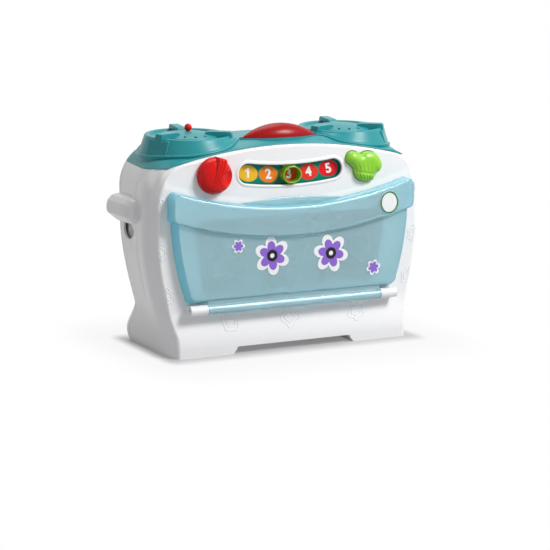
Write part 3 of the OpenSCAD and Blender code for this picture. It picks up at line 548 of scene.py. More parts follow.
def plastic(name, base, roughness=0.35, tint=0.05, grain=0.06, grain_scale=1400, coat=0.0, soft=0.0,
            shine=0.5, through=0.0, metallic=0.0):
    """Moulded plastic or metal: a slow drift of tone, a fine grain, and a gloss that varies a little."""
    if name in bpy.data.materials:
        return bpy.data.materials[name]
    material, tree, shader = start_material(name)
    where = add_node(tree, "ShaderNodeTexCoord")["Object"]

    def noise(scale, detail):
        values = {"Scale": scale, "Detail": detail, "Vector": where}
        return add_node(tree, "ShaderNodeTexNoise", values)["Fac"]

    low, high = [(*[min(1, c * (1 + drift)) for c in base], 1) for drift in (-tint, tint)]
    tone = add_node(tree, "ShaderNodeMix", {"A": low, "B": high, "Factor": noise(14, 3)}, data_type="RGBA")
    gloss = add_node(tree, "ShaderNodeMapRange",
                     {"To Min": roughness * 0.85, "To Max": roughness * 1.2, "Value": noise(55, 3)})
    bump = add_node(tree, "ShaderNodeBump",
                    {"Strength": grain, "Distance": 0.0002, "Height": noise(grain_scale, 2)})
    feed(tree, shader, {
        "Base Color": tone["Result"], "Roughness": gloss["Result"], "Normal": bump["Normal"],
        "Specular IOR Level": shine, "Coat Weight": coat, "Coat Roughness": 0.12, "Subsurface Weight": soft,
        "Subsurface Radius": (0.004,) * 3, "Transmission Weight": through, "IOR": 1.45 if through else 1.5,
        "Metallic": metallic,
    })
    return material


CLEAR = {"tint": 0.04, "grain": 0.03, "grain_scale": 500}
PLASTICS = {
    "white": {"roughness": 0.3, "tint": 0.012, "grain": 0.05, "grain_scale": 900, "soft": 0.06},
    "teal": {"roughness": 0.34, "tint": 0.06, "grain": 0.12, "grain_scale": 1300, "shine": 0.3},
    "red": {"roughness": 0.24, "tint": 0.06, "coat": 0.1, "shine": 0.16},
    "lime": {"roughness": 0.36, "tint": 0.06, "coat": 0.2, "shine": 0.6},
    "ring": {"roughness": 0.25, "tint": 0.06, "coat": 0.15, "shine": 0.25},
    "panel": {"roughness": 0.35, "shine": 0.15},
    "door": {"roughness": 0.14, "through": 0.72, **CLEAR},
    "door_rim": {"roughness": 0.14, "through": 0.6, **CLEAR},
    "lens": {"roughness": 0.28, "through": 0.25, "shine": 0.16, **CLEAR},
}


def look(name):
    return plastic(f"{name}_plastic", getattr(looks(), name), **PLASTICS[name])


def metal(name, base):
    return plastic(name, base, 0.3, tint=0.08, grain=0.1, grain_scale=2500, metallic=1.0)


def steel():
    return metal("steel", (0.62, 0.62, 0.64))


def print_ink(name, base):
    return plastic(name, base, 0.32, tint=0.03, grain=0.04, grain_scale=700, shine=0.15)


# ---------- shells ----------


def arch_cutter(grow=0.0, below=1.0):
    """Arch under the body, with rounded upper corners, from front to back."""
    half, top = ARCH_W / 2 + grow, ARCH_H + grow
    corners = arc(half - ARCH_SLANT - ARCH_R, top - ARCH_R, ARCH_R, 0, 90, 6)
    return prism("arch", whole([(half, -below)] + corners), -SPAN_Y, SPAN_Y)


def split_block(side, drop=0.0):
    """All that is over (side 1) or under (side -1) the line where the hob cover starts, lowered by drop."""
    far, xs = 300 if side > 0 else -20, [side * SPAN_X * (1 - k / 60) for k in range(121)]
    line = [(x, arc_height(x, SPLIT_H, SPLIT_R) - drop) for x in xs]
    return prism("split", [(-side * SPAN_X, far), (side * SPAN_X, far)] + line, -SPAN_Y, SPAN_Y)


def bent_slot(grow):
    """Outline of the number slot, with round ends."""
    h, turn = SLOT_H / 2 + grow, math.radians(SLOT_TURN)
    x, z = SLOT_R * math.sin(turn), SLOT_TOP - SLOT_R * math.cos(turn)
    return (arc(0, SLOT_TOP, SLOT_R + h, -90 - SLOT_TURN, -90 + SLOT_TURN, 32)
            + arc(x, z, h, SLOT_TURN - 80, SLOT_TURN + 80, 16)
            + arc(0, SLOT_TOP, SLOT_R - h, -90 + SLOT_TURN, -90 - SLOT_TURN, 32)
            + arc(-x, z, h, 100 - SLOT_TURN, 260 - SLOT_TURN, 16))


def mouth_outline():
    x, low, high = MOUTH_W / 2 - MOUTH_R, MOUTH_LOW + MOUTH_R, MOUTH_TOP - MOUTH_R
    points = []
    for mx, mz, start in ((x, high, 0), (-x, high, 90), (-x + 8, low, 180), (x - 8, low, 270)):
        points += arc(mx, mz, MOUTH_R, start, start + 90, 8)
    return points


def inner_front():
    edge, stations = looks().edge / MM, []
    for d in (WALL, 4, 6, 8.5, 11, 14, 18, 22, 27, 32, 37, 42, 50, 56, 62, 70, 80, 97):
        side, top = face_inset(d - 2, edge, FACE_REACH), face_inset(d - 1.5, TOP_EDGE, TOP_REACH)
        stations.append((FACE_Y + d, WALL + side, WALL + top, WALL))
    return cut(body_loft("inner_front", stations, side_steps(32), 8, 10, dent=1), arch_cutter(WALL, 4))


def pocket_ball(grow):
    """Scooped hollow for the fingers under a grip."""
    middle = Matrix.Translation((BACK_W / 2 - 0.5, GRIP_Y - 4, GRIP_LOW - POCKET_H / 2 + 0.5))
    sizes = Matrix.Diagonal((10.5 + grow, POCKET_W / 2 + 3 + grow, POCKET_H / 2 + 1.5 + grow, 1))
    return lathe("pocket_ball", arc(0, 0, 1, -90, 90, 24), 48, middle @ sizes)


def grip_cutter():
    half, top = GRIP_LEN / 2 + 0.2, GRIP_LOW + GRIP_H + 0.2
    hole = box_piece("grip_hole", (128, GRIP_Y - half, GRIP_LOW - 0.2), (162, GRIP_Y + half, top))
    return fuse(hole, pocket_ball(0.1))


def hinge_lug():
    """White lug that carries one end of the hinge rod, with its bore."""
    x0, r = TUBE_LEN / 2 + 0.5, TUBE_R - 0.1
    x1 = x0 + LUG_LEN
    web = box_piece("web", (x0, HINGE_Y, HINGE_Z - r + 0.9), (x1, FACE_Y + 1, HINGE_Z + r - 0.9))
    lug = fuse(bar_x("lug", x0, x1, r), web)
    return rounded(cut(lug, bar_x("bore", x0 - 1, x1 + 1, ROD_R + 0.6)), 0.5)


def fascia_cutter():
    """Shallow recess of the control face, whose lower edge follows the door's top."""
    outlines = []
    for grow in (10.0, 5.0, 2.0, 0.0):
        x, gap = FASCIA_HALF + grow - FASCIA_R, FASCIA_GAP - grow
        low = [(x * (1 - k / 20), door_top_at(x * (1 - k / 20)) + gap) for k in range(41)]
        side = arc(x, door_top_at(x) + gap + FASCIA_R, FASCIA_R, 0, -90, 8)[:-1]
        right = [(x + FASCIA_R, 230)] + side
        outlines.append(right + low + [(-px, z) for px, z in reversed(right)])
    ys = [FACE_Y - 0.5, *(FACE_Y + FASCIA_SUNK * t for t in (0.3, 0.8, 1))]
    return flat_loft("fascia_cutter", outlines, ys)


CAP_KNOTS = (
    (-19.7, 8.6), (-17.6, 14.0), (-12.2, 16.5), (-6.2, 15.0), (-2.2, 13.0), (1.8, 14.9), (7.7, 15.6),
    (13.6, 14.0), (19.3, 9.2), (22.9, 3.6), (23.2, -2.0), (20.4, -6.4), (16.2, -8.3), (14.8, -11.5),
    (12.6, -15.2), (8.0, -16.4), (2.5, -16.4), (-3.5, -14.6), (-7.8, -11.0), (-9.8, -6.5), (-10.4, -2.6),
    (-13.6, 1.0), (-17.8, 4.6),
)


def cap_outline(grow):
    """Outline of the push button: two lobes over a band, smooth through its turning points."""
    line, count = [], len(CAP_KNOTS)
    for k in range(count):
        p0, p1, p2, p3 = (Vector(CAP_KNOTS[(k + j) % count]) for j in (-1, 0, 1, 2))
        for t in (j / 8 for j in range(8)):
            bend = (2 * p0 - 5 * p1 + 4 * p2 - p3) * t * t + (3 * p1 - p0 - 3 * p2 + p3) * t**3
            line.append(p1 + 0.5 * ((p2 - p0) * t + bend))
    result = []
    for k, p in enumerate(line):
        way = (line[(k + 1) % len(line)] - line[k - 1]).normalized()
        result.append((HAT_X + p.x - grow * way.y, HAT_Z + p.y + grow * way.x))
    return result


class OVEN_OT_front_shell(Operator):
    """White front shell with its mouth, slot, recesses, grip openings and hinge lugs"""

    bl_idname = "oven.front_shell"
    bl_label = "Front shell"

    def execute(self, context):
        edge, seam = looks().edge / MM, looks().seam / MM
        depths = [0, 0.25, 0.7, 1.4, 2.4, 3.8, 5.5, 7.3, 9, 12, 16, 20] + [20 + 3.1 * k for k in range(1, 25)]
        stations = [(FACE_Y + d, face_inset(d, edge, FACE_REACH), face_inset(d, TOP_EDGE, TOP_REACH), 0)
                    for d in depths]
        stations.append((SEAM_Y, 2 * seam, 2 * seam, 0))
        shell = body_loft("front_shell_skin", stations, side_steps(64), dent=1)
        front, behind = FACE_Y - 12, INNER_Y + 2
        right = grip_cutter()
        left = mirrored(right, "left_cutter")
        cut(shell, inner_front(), arch_cutter(), split_block(1, seam),
            prism("mouth", mouth_outline(), front, behind), prism("slot", bent_slot(0), front, behind),
            prism("cap_hole", cap_outline(0.5), front, INNER_Y + 5),
            bar_y("stem_hole", KNOB_X, KNOB_Z, FACE_Y - 9, behind, 5.05), fascia_cutter(), right, left)
        finish_white(shell, "front_shell")
        lug = hinge_lug()
        finish_white(joined("hinge_lugs", [mirrored(lug, "left_lug"), lug]))
        return {"FINISHED"}


class OVEN_OT_rear_shell(Operator):
    """White rear shell with its screw wells, battery bay and power slot"""

    bl_idname = "oven.rear_shell"
    bl_label = "Rear shell"

    def execute(self, context):
        seam = looks().seam / MM
        start, deep, out = SEAM_Y + SEAM_OPEN, BACK_Y - 10, BACK_Y + 2
        stations = [(start, 2 * seam, 2 * seam, 0), (start + 2 * seam, 0, 0, 0)]
        shell = body_loft("rear_shell_skin", stations + back_stations(range(12, 91, 6)))
        inner = [(SEAM_Y - 1, WALL, WALL, WALL)] + back_stations(range(15, 91, 15), WALL)
        hollow = cut(body_loft("inner_rear", inner, side_steps(20), 8, 10), arch_cutter(WALL, 4))
        wells = [bar_y("well", x, z, BACK_Y - 8, out, 3.2, 32) for x, z in screw_places("shell_screws")]
        (x0, _, z0), (x1, _, z1) = node_box("battery_door")
        bay = box_piece("bay", (x0 - 0.3, deep, z0 - 0.3), (x1 + 0.3, out, z1 + 0.3))
        power_slot = box_piece("power_slot", (70, deep, 147), (86, out, 153))
        cut(shell, hollow, arch_cutter(), split_block(1, seam), *wells, bay, power_slot)
        finish_white(shell, "rear_shell")
        return {"FINISHED"}


def screw_places(name):
    """Places (x, z) of the screws of a node, told apart by their distance."""
    places = []
    for v in frame["nodes"][name].data.vertices:
        x, z = v.co.x / MM, v.co.z / MM
        for group in places:
            if math.hypot(group[0] / group[2] - x, group[1] / group[2] - z) < SCREW_APART:
                break
        else:
            group = [0, 0, 0]
            places.append(group)
        group[:] = group[0] + x, group[1] + z, group[2] + 1
    return [(sx / n, sz / n) for sx, sz, n in places]


# ---------- hob ----------


def ring_place(side):
    return Matrix.Translation((side * RING_X, RING_Y, RING_Z)) @ Matrix.Rotation(RING_LEAN, 4, "X")


def foot_drop(place, turn):
    """Height of the deck under a ring's foot at angle turn, in the ring's own frame."""
    point = place @ polar(RING_FOOT, turn, -12)
    height = surface_height(point.x, min(max(point.y, LIP_Y), BACK_Y - BACK_EDGE))
    return (place.inverted() @ Vector((point.x, point.y, height))).z


def burner(side):
    """One hob ring with its dish, rim, sloping wall and the bead that follows the deck."""
    place, bead = ring_place(side), looks().bead / MM
    top = [(4, DOME_H), (9, DOME_H - 0.15), (14, DOME_H * 0.78), (19, DOME_H * 0.5), (25, 0.3), (29.5, -0.7),
           (30.6, -1.1), (31.2, -2.1), (32, -DISH_DEEP), (38.4, -DISH_DEEP), (39.2, -DISH_DEEP + 0.3),
           (40.2, -0.7), (40.8, -0.15), (41.6, 0.0), (43.4, 0.0), (44.3, -0.25), (44.9, -0.9),
           (RIM_R, RIM_LOW)]
    sides, verts = 144, [place @ Vector((0, 0, DOME_H))]
    for k in range(sides):
        turn = math.tau * k / sides
        deck = foot_drop(place, turn)
        level = BEAD_LEVEL - BEAD_SLOPE_X * side * math.cos(turn) - BEAD_SLOPE_Y * math.sin(turn)
        drop = (deck + level + math.sqrt((deck - level) ** 2 + 4)) / 2
        wall = [(mix(RIM_R, RING_FOOT - 0.4, t), mix(RIM_LOW, drop + bead + 0.6, t))
                for t in (0.2, 0.5, 0.8, 1)]
        curl = [(RING_FOOT - 0.1, drop + bead * 0.95)] + arc(RING_FOOT + 1.2, drop - 0.1, bead, 110, -10, 6)
        column = top + wall + curl + [(RING_FOOT + 1.4, deck - 3), (38, deck - 3)]
        verts += [place @ polar(r, turn, z) for r, z in column]
    count, faces = len(column), []
    rows = [1 + count * k for k in range(sides)]
    for a, b in zip(rows, rows[1:] + rows[:1]):
        faces.append((0, a, b))
        faces += [(a + i, a + i + 1, b + i + 1, b + i) for i in range(count - 1)]
    faces.append(tuple(row + count - 1 for row in rows))
    obj = solid("burner", verts, faces)
    for turn in map(math.radians, HOLE_TURNS):
        for r in (24, 26.5):
            cut(obj, round_bar("sound_hole", *[place @ polar(r, turn, z) for z in (-3.5, 6)], 1.4, 24))
    return obj


def pan_rest():
    """Pan rest that points along X, lofted from its side view."""
    profile = [(17.5, -4.2), (17.8, DOME_H * 0.5 + 0.4), (19, REST_H - 1.3), (21.5, REST_H - 0.5),
               (28, REST_H - 0.2), (43.8, REST_H), (45.2, REST_H - 0.5), (46, REST_H - 1.6), (46.8, -3),
               (49.3, -14), (44, -14), (40, -4.2)]
    return rounded(prism("rest", profile, -REST_W / 2, REST_W / 2), 0.7)


def pier(place, angle):
    """Flat-faced pier on a ring's wall under a pan rest."""
    a, half, verts = math.radians(angle), 13, []
    turn = place @ Matrix.Rotation(a, 4, "Z")
    for r1, z in ((45.9, -1.9), (RING_FOOT + 0.6, foot_drop(place, a) - 1)):
        verts += [turn @ Vector((r, s, z)) for r, s in ((40, -half), (r1, -half), (r1, half), (40, half))]
    faces = [(0, 1, 2, 3), (7, 6, 5, 4), (0, 4, 5, 1), (1, 5, 6, 2), (2, 6, 7, 3), (3, 7, 4, 0)]
    return rounded(solid("pier", verts, faces), 0.8)


class OVEN_OT_hob(Operator):
    """Teal hob cover: deck, two rings with pan rests and piers, and the lip of the light"""

    bl_idname = "oven.hob"
    bl_label = "Hob cover"

    def execute(self, context):
        steps = [0.8, 0.88, 0.95]
        depths = [4, 4.4, 5, 6, 7.5, 9, 11, 13, 15, 17, 19, 22] + [22 + 4 * k for k in range(1, 19)]
        stations = [(FACE_Y + d, 0.5 * (1 - ease((d - 4) / 8)) + max(0, 5 - d), max(0, 5 - d) * 1.4, 0)
                    for d in depths]
        deck = body_loft("hob_deck", stations + back_stations(range(6, 91, 6)), steps, 20, 40)
        inner = [(FACE_Y + d, WALL, WALL, 0) for d in (7, 10, 13, 17, 22, 44, 70)]
        inner += back_stations(range(15, 91, 15), WALL)
        cut(deck, body_loft("inner_deck", inner, steps, 8, 16), split_block(-1), lens_prism(0.3, -20, 20))
        finish_teal(deck, "hob_cover")
        finish_teal(rounded(cut(lens_prism(2.1, -7.5, 0.7), lens_prism(0.3, -9, 9)), 0.6))
        rest = pan_rest()
        for side, name in ((-1, "left_burner"), (1, "right_burner")):
            place = ring_place(side)
            parts = [burner(side)]
            for angle in REST_TURNS:
                turn = place @ Matrix.Rotation(math.radians(angle), 4, "Z")
                parts += [copied(rest, "rest", turn), pier(place, angle)]
            finish_teal(joined(name, parts))
        bpy.data.objects.remove(rest)
        return {"FINISHED"}


def lens_prism(grow, low, high):
    """Prism on the lens's plan, two equal arcs that meet at points, widened by grow."""
    reach = math.degrees(math.acos((LENS_R - LENS_H) / (LENS_R + grow)))
    upper = arc(0, LENS_H - LENS_R, LENS_R + grow, 90 - reach, 90 + reach, 40)
    plan = upper + [(-x, -y) for x, y in upper[1:-1]]
    return loft("lens_prism", [[(x, LENS_Y + y, LENS_Z + z) for x, y in plan] for z in (low, high)])


class OVEN_OT_lens(Operator):
    """Red see-through lens between the rings"""

    bl_idname = "oven.lens"
    bl_label = "Light lens"

    def execute(self, context):
        rings, count = [], 72
        for k in range(1, count):
            x = -LENS_W / 2 + LENS_W * ease(k / count)
            r = arc_height(x, LENS_H, LENS_R)
            crown = arc(LENS_Y, LENS_Z, r, 0, 180, 32)
            skirt = [(LENS_Y - r + 0.05, LENS_Z - 6), (LENS_Y + r - 0.05, LENS_Z - 6)]
            rings.append([(x, y, z) for y, z in crown + skirt])
        finish(loft("red_lens", rings), "case", look("lens"), "lens_red", "light_lens", angle=50)
        # Flange round the lens in the darker red: painted shade on the lens's own plastic
        rim = rounded(cut(lens_prism(0.9, -3, 1.5), lens_prism(-1.5, -4, 2)), 0.4)
        finish(rim, "case", print_ink("lens_edge", looks().lens_edge), "lens_red").name = "lens_rim"
        return {"FINISHED"}


# ---------- door ----------


def door_top_at(x):
    return DOOR_TOP + DOOR_TOP_R - math.sqrt(DOOR_TOP_R**2 - x * x)


def door_half(z):
    return DOOR_W / 2 - DOOR_SIDE_R + math.sqrt(DOOR_SIDE_R**2 - max(0, DOOR_TOP - z) ** 2)


def door_line(end, drop):
    """Points from end in to the middle, along the door's top edge lowered by drop."""
    return [(x, door_top_at(x) - drop) for x in (end * k / 30 for k in range(30, -1, -1))]


def tray_edge(g):
    """Outline of the window tray, drawn in by g."""
    r, cap, foot = 9, 3 + g, DOOR_Z + 9 + g
    x = door_half(DOOR_TOP) - g - r
    sides = [mix(foot, DOOR_TOP, k / 24) for k in range(1, 24)]
    return whole([(0, DOOR_Z + g)] + arc(door_half(foot) - g - r, foot, r, -90, 0, 12)
                 + [(door_half(z) - g, z) for z in sides]
                 + arc(x, door_top_at(x) - cap - r, r, 0, 90, 8) + door_line(x, cap)[1:])


def band_edge(g):
    """Outline of the handle band, drawn in by g."""
    r, drop = 7, BAND_H - g
    x = BAND_W / 2 - g - r
    return whole(door_line(x, drop)[::-1] + arc(x, door_top_at(x) - drop + r, r, -75, 0, 10)[1:]
                 + arc(x, door_top_at(x) - g - r, r, 0, 90, 12) + door_line(x, g)[1:])


def round_insets(inset, radius, front, count):
    """Insets and depths of a moulded edge: rounded at the front, drafted to the rim."""
    turns = [math.pi / 2 * k / count for k in range(count + 1)]
    insets = [inset + radius * (1 - math.sin(a)) for a in turns] + [0]
    return insets, [front + radius * (1 - math.cos(a)) for a in turns] + [RIM_Y]


def finger_tab():
    """Crescent tab over the door's top edge."""
    reach, up = TAB_W / 2, TAB_H - 4
    radius = (reach**2 + up**2) / (2 * up)
    xs = [reach * (1 - k / 24) for k in range(49)]
    upper = [(x, arc_height(x, DOOR_TOP + TAB_H, radius)) for x in xs]
    lower = [(x, door_top_at(x) - 1.5) for x in reversed(xs)]
    return rounded(prism("finger_tab", upper + lower, RIM_Y - DOOR_WALL, RIM_Y), 0.7)


class OVEN_OT_door(Operator):
    """See-through door: window tray, handle band, finger tab and hinge tube"""

    bl_idname = "oven.door"
    bl_label = "Door"

    def execute(self, context):
        def tray(insets, ys):
            return flat_loft("door_shell", [tray_edge(g) for g in insets], ys)

        def band(insets, ys):
            return flat_loft("band", [band_edge(g) for g in insets], ys)

        behind, band_back = RIM_Y + 1, BAND_Y + DOOR_WALL
        door = fuse(tray(*round_insets(DRAFT, 1.4, WINDOW_Y, 5)), band(*round_insets(0.4, 3.2, BAND_Y, 8)))
        hollow = tray((DRAFT + DOOR_WALL, DOOR_WALL), (WINDOW_Y + DOOR_WALL, behind))
        fuse(hollow, band([DOOR_WALL + g for g in (3, 1, 0)], (band_back, band_back + 1.5, behind)))
        finish(cut(door, hollow), "door", look("door"), "door_blue", "door", angle=40)
        # The edge faces take the deeper blue: painted shade in place of the tint that the clear wall shows
        # edge-on
        door.data.materials.append(look("door_rim"))
        for face in door.data.polygons:
            face.material_index = int(abs(face.normal.y) < 0.75)
        finish(finger_tab(), "door", look("door"), "door_blue")
        half = TUBE_LEN / 2
        web = box_piece("tube_web", (-half, HINGE_Y - 1, HINGE_Z), (half, HINGE_Y + 2, DOOR_Z + DRAFT))
        tube = fuse(bar_x("hinge_tube", -half, half, TUBE_R), web)
        cut(tube, bar_x("tube_bore", -half - 1, half + 1, ROD_R + 0.05))
        finish(rounded(tube, 0.4), "door", look("door"), "door_blue")
        return {"FINISHED"}


def plate(name, insets, lifts):
    """Part of the badge: ovals drawn in by insets, each raised from the band by its lift."""
    outlines = [oval(BADGE_X, BADGE_Z, 11 - g, 12 - g) for g in insets]
    return flat_loft(name, outlines, [BAND_Y - lift for lift in lifts])


class OVEN_OT_prints(Operator):
    """Printed flowers on the door's window and the bare raised plate on its band"""

    bl_idname = "oven.prints"
    bl_label = "Door prints"

    def execute(self, context):
        inks = {"white": print_ink("print_white", (0.85, 0.85, 0.86)),
                "purple": print_ink("print_purple", looks().purple),
                "dark": print_ink("print_dark", looks().dark)}
        for k, (mx, mz, r) in enumerate(FLOWERS):
            layers = [("white", r, 0.62, 0.06), ("purple", r * 0.74, 0.6, 0.11)]
            if r > EYELESS_R:
                layers += [("dark", r * 0.3, 0.96, 0.16), ("white", r * 0.12, 0.96, 0.21)]
            for ink, reach, neck, lift in layers:
                outline = star(mx, mz, reach, reach * neck, 6, 96 + 12 * k, blunt=0.45)
                print_y = WINDOW_Y - lift
                flat = prism(f"print_{k}_{ink}_{lift}", outline, print_y, print_y + 0.05)
                finish(flat, "door", inks[ink], "door_blue")
        badge = plate("badge", (0.7, 0.2, 0, 0), (0.7, 0.6, 0.4, 0))
        cut(badge, plate("rim", (0.8, 1.8), (1, 0.45)))
        finish_white(badge, "door_badge", body="door")
        ring = plate("badge_ring", (0.7, 0.3, 0.2), (0.8, 0.75, 0.4))
        cut(ring, plate("inside", (1.8, 1.8), (2, 0)))
        finish(ring, "door", print_ink("badge_green", looks().badge), "door_blue")
        return {"FINISHED"}


# ---------- controls ----------


def facing_front(x, z, y):
    """Placement whose Z points out of the front face."""
    return Matrix.Translation((x, y, z)) @ Matrix.Rotation(math.pi / 2, 4, "X")


class OVEN_OT_knob(Operator):
    """Red timer knob: a round foot, a dished dome and a ridged pointer"""

    bl_idname = "oven.knob"
    bl_label = "Timer knob"
    turn = 17

    def rib(self, turn):
        """Pointer with three ridges along it: high and broad at its tip, fading to the foot."""
        stations = [(19.0, 4.0, 7.5), (18.9, 4.5, 10.0), (18.2, 4.9, 12.0), (16.0, 5.1, 13.3),
                    (11, 5.1, 13.8), (5, 4.9, 13.8), (0, 4.6, 13.6), (-5, 4.3, 13.1), (-10, 3.9, 12.0),
                    (-14, 3.4, 9.8), (-16.5, 2.8, 6.4)]
        rings = []
        for y, half, high in stations:
            side = [(half + 0.7, 0.5), (half + 0.3, high - 3.2), (half, high - 1.5),
                    (half * 0.88, high - 0.7)]
            ridges = [(half * t, high - 0.9 * (1 - abs(math.cos(1.5 * math.pi * t))) - 0.4 * abs(t))
                      for t in (-0.8 + 1.6 * k / 24 for k in range(25))]
            ring = [(-x, z) for x, z in side] + ridges + side[::-1]
            rings.append([turn @ Vector((x, y, z)) for x, z in ring])
        return loft("rib", rings)

    def execute(self, context):
        place = facing_front(KNOB_X, KNOB_Z, FACE_Y - 0.6)
        profile = [(0, -FASCIA_SUNK), (18.4, -FASCIA_SUNK), (18.9, -0.5), (19, 0.5), (19, 1.6), (18.7, 2.4),
                   (18.0, 3.0), (17.9, 4.3), (17.2, 6.4), (15.9, 8.3), (14, 9.9), (11, 11.2), (7, 12.0),
                   (3, 12.3), (0, 12.4)]
        knob = lathe("timer_knob_body", profile, 96, place)
        turn = place @ Matrix.Rotation(math.radians(-self.turn), 4, "Z")
        cut(knob, lathe("scoop", arc(0, 0, 14, -90, 90, 32), 64, turn @ Matrix.Translation((15.5, 1, 20))))
        fuse(knob, self.rib(turn), bar_y("stem", KNOB_X, KNOB_Z, FACE_Y - 1, FACE_Y + 5, 5))
        finish(knob, "knob", look("red"), "knob_red", "timer_knob", angle=30)
        return {"FINISHED"}


class OVEN_OT_push_button(Operator):
    """Lime push button: puffs over a pleated band"""

    bl_idname = "oven.push_button"
    bl_label = "Push button"

    def execute(self, context):
        rear, hem, middle = INNER_Y + 0.3, FACE_Y - 0.6, Vector((HAT_X + 2, HAT_Z))
        edge = [Vector(p) for p in cap_outline(-0.2)]
        rings = [[(p.x, y, p.y) for p in edge] for y in (rear, hem)]
        for part in (0.995, 0.985, 0.97, 0.95, *(0.93 - 0.9 * k / 40 for k in range(41))):
            ring = []
            for q in (middle + part * (p - middle) for p in edge):
                near = min((q - e).length_squared for e in edge) ** 0.5
                swell = (1 - (1 - clamp01(near / PUFF_EDGE)) ** 2.2) ** 0.6
                ring.append((q.x, hem - PUFF_OUT * swell, q.y))
            rings.append(ring)
        button = loft("cap_button", rings)
        self.pleat(button)
        finish(button, "press", look("lime"), "button_lime", "press_button", angle=60)
        stem = bar_y("button_stem", HAT_X, HAT_Z, rear, FACE_Y + 10.2, 3)
        finish(rounded(stem, 0.3), "press", look("lime"), "button_lime")
        return {"FINISHED"}

    def pleat(self, button):
        """Sinks grooves into the front, deep on the band and fading over the lobes and the hem."""
        count = looks().pleats
        for v in button.data.vertices:
            x, y, z = v.co.x / MM - HAT_X, v.co.y / MM, v.co.z / MM - HAT_Z
            front = clamp01((FACE_Y - y - 1.5) / 3)
            low = z + 0.176 * (x - 2)
            fan = (x - 2) / (1 + 0.035 * (low + 12)) + 0.5 * math.sin(0.6 * low)
            groove = (1 - abs(math.sin(math.pi * count * (fan + 20) / 24))) ** 1.6
            creases = 0.7 * ease((5 - low) / 7) * ease((low + 7.5) / 4)
            pleats = 1.1 * ease((-7.5 - low) / 2) * ease((low + 14.5) / 2)
            waist = 0.9 * ease((low + 9.5) / 2.5) * ease((-4.5 - low) / 2.5)
            v.co.y += MM * front * (groove * (creases + pleats) + waist)


class OVEN_OT_ball(Operator):
    """Red ball button in the left ring"""

    bl_idname = "oven.ball"
    bl_label = "Ball button"

    def execute(self, context):
        r, lift = 3.9, 6.8
        stem = [(0, -12.5), (2, -12.5), (2, -7.5), (5.8, -7.5), (5.8, -5.8), (2, -5.8), (2, lift - 3.3)]
        ball = lathe("ball_and_stem", stem + arc(0, lift, r, -90, 90, 32)[5:], 64, ring_place(-1))
        finish(ball, "ball", look("red"), "ball_red", "ball_button")
        return {"FINISHED"}


class OVEN_OT_slider(Operator):
    """Green ring that slides along the numbers, with its two tabs, and the slot's raised rim"""

    bl_idname = "oven.slider"
    bl_label = "Number slider"

    def execute(self, context):
        def block(low, high):
            return rounded(box_piece("tab", low, high), 0.3)

        front, rear = 3.5 - FACE_Y, -INNER_Y - 2.8
        profile = [(8.3, rear), (9.9, rear), (9.9, front - 0.8), (9.7, front - 0.25), (9.2, front),
                   (8.9, front), (8.45, front - 0.25), (8.2, front - 0.8), (8.2, rear)]
        broad = facing_front(0, SLOT_Z, 0) @ Matrix.Diagonal((1.1, 0.91, 1, 1))
        parts = [lathe("sliding_ring", profile, 96, broad)]
        reach = SLOT_H / 2 + 7
        for low, high, left, right in ((8.0, reach, -8.2, 6.2), (-reach, -8.0, -2, 6.5)):
            ends = (left, INNER_Y + 0.3, SLOT_Z + low), (right, INNER_Y + 2.8, SLOT_Z + high)
            parts.append(block(*ends))
        for low, high in ((7.8, 8.9), (-8.9, -7.8)):
            ends = (-4.6, FACE_Y - 2.4, SLOT_Z + low), (4.6, INNER_Y + 1.5, SLOT_Z + high)
            parts.append(block(*ends))
        finish(joined("slider_ring_body", parts), "slider", look("ring"), "ring_green", "slider_ring")
        section = [(3.8, 0.1), (3.0, -0.35), (2.0, -0.85), (0.9, -0.95), (0.2, -0.5), (0.05, 0.1),
                   (0.05, 1.2), (2, 1.2)]
        rings = [[(x, FACE_Y + FASCIA_SUNK + d, z) for x, z in bent_slot(g)] for g, d in section]
        finish_white(loft("slot_rim", rings, "joined"), angle=45)
        return {"FINISHED"}


def numeral(text, x, z, turn, y, height):
    """Flat raised numeral that faces the front, slanted by LEAN."""
    curve = bpy.data.curves.new(f"numeral_{text}", "FONT")
    curve.body = text
    curve.size = height * NUMERAL_SCALE
    curve.align_x, curve.align_y = "CENTER", "CENTER"
    curve.offset, curve.extrude = NUMERAL_BOLD * MM, NUMERAL_THICK * MM
    face = Matrix.Translation(Vector((x, y, z)) * MM) @ Matrix.Rotation(math.radians(turn), 4, "Y")
    slant = Matrix.Identity(4)
    slant[0][1] = -LEAN
    return settled(add_object(curve.name, curve), face @ Matrix.Rotation(math.pi / 2, 4, "X") @ slant)


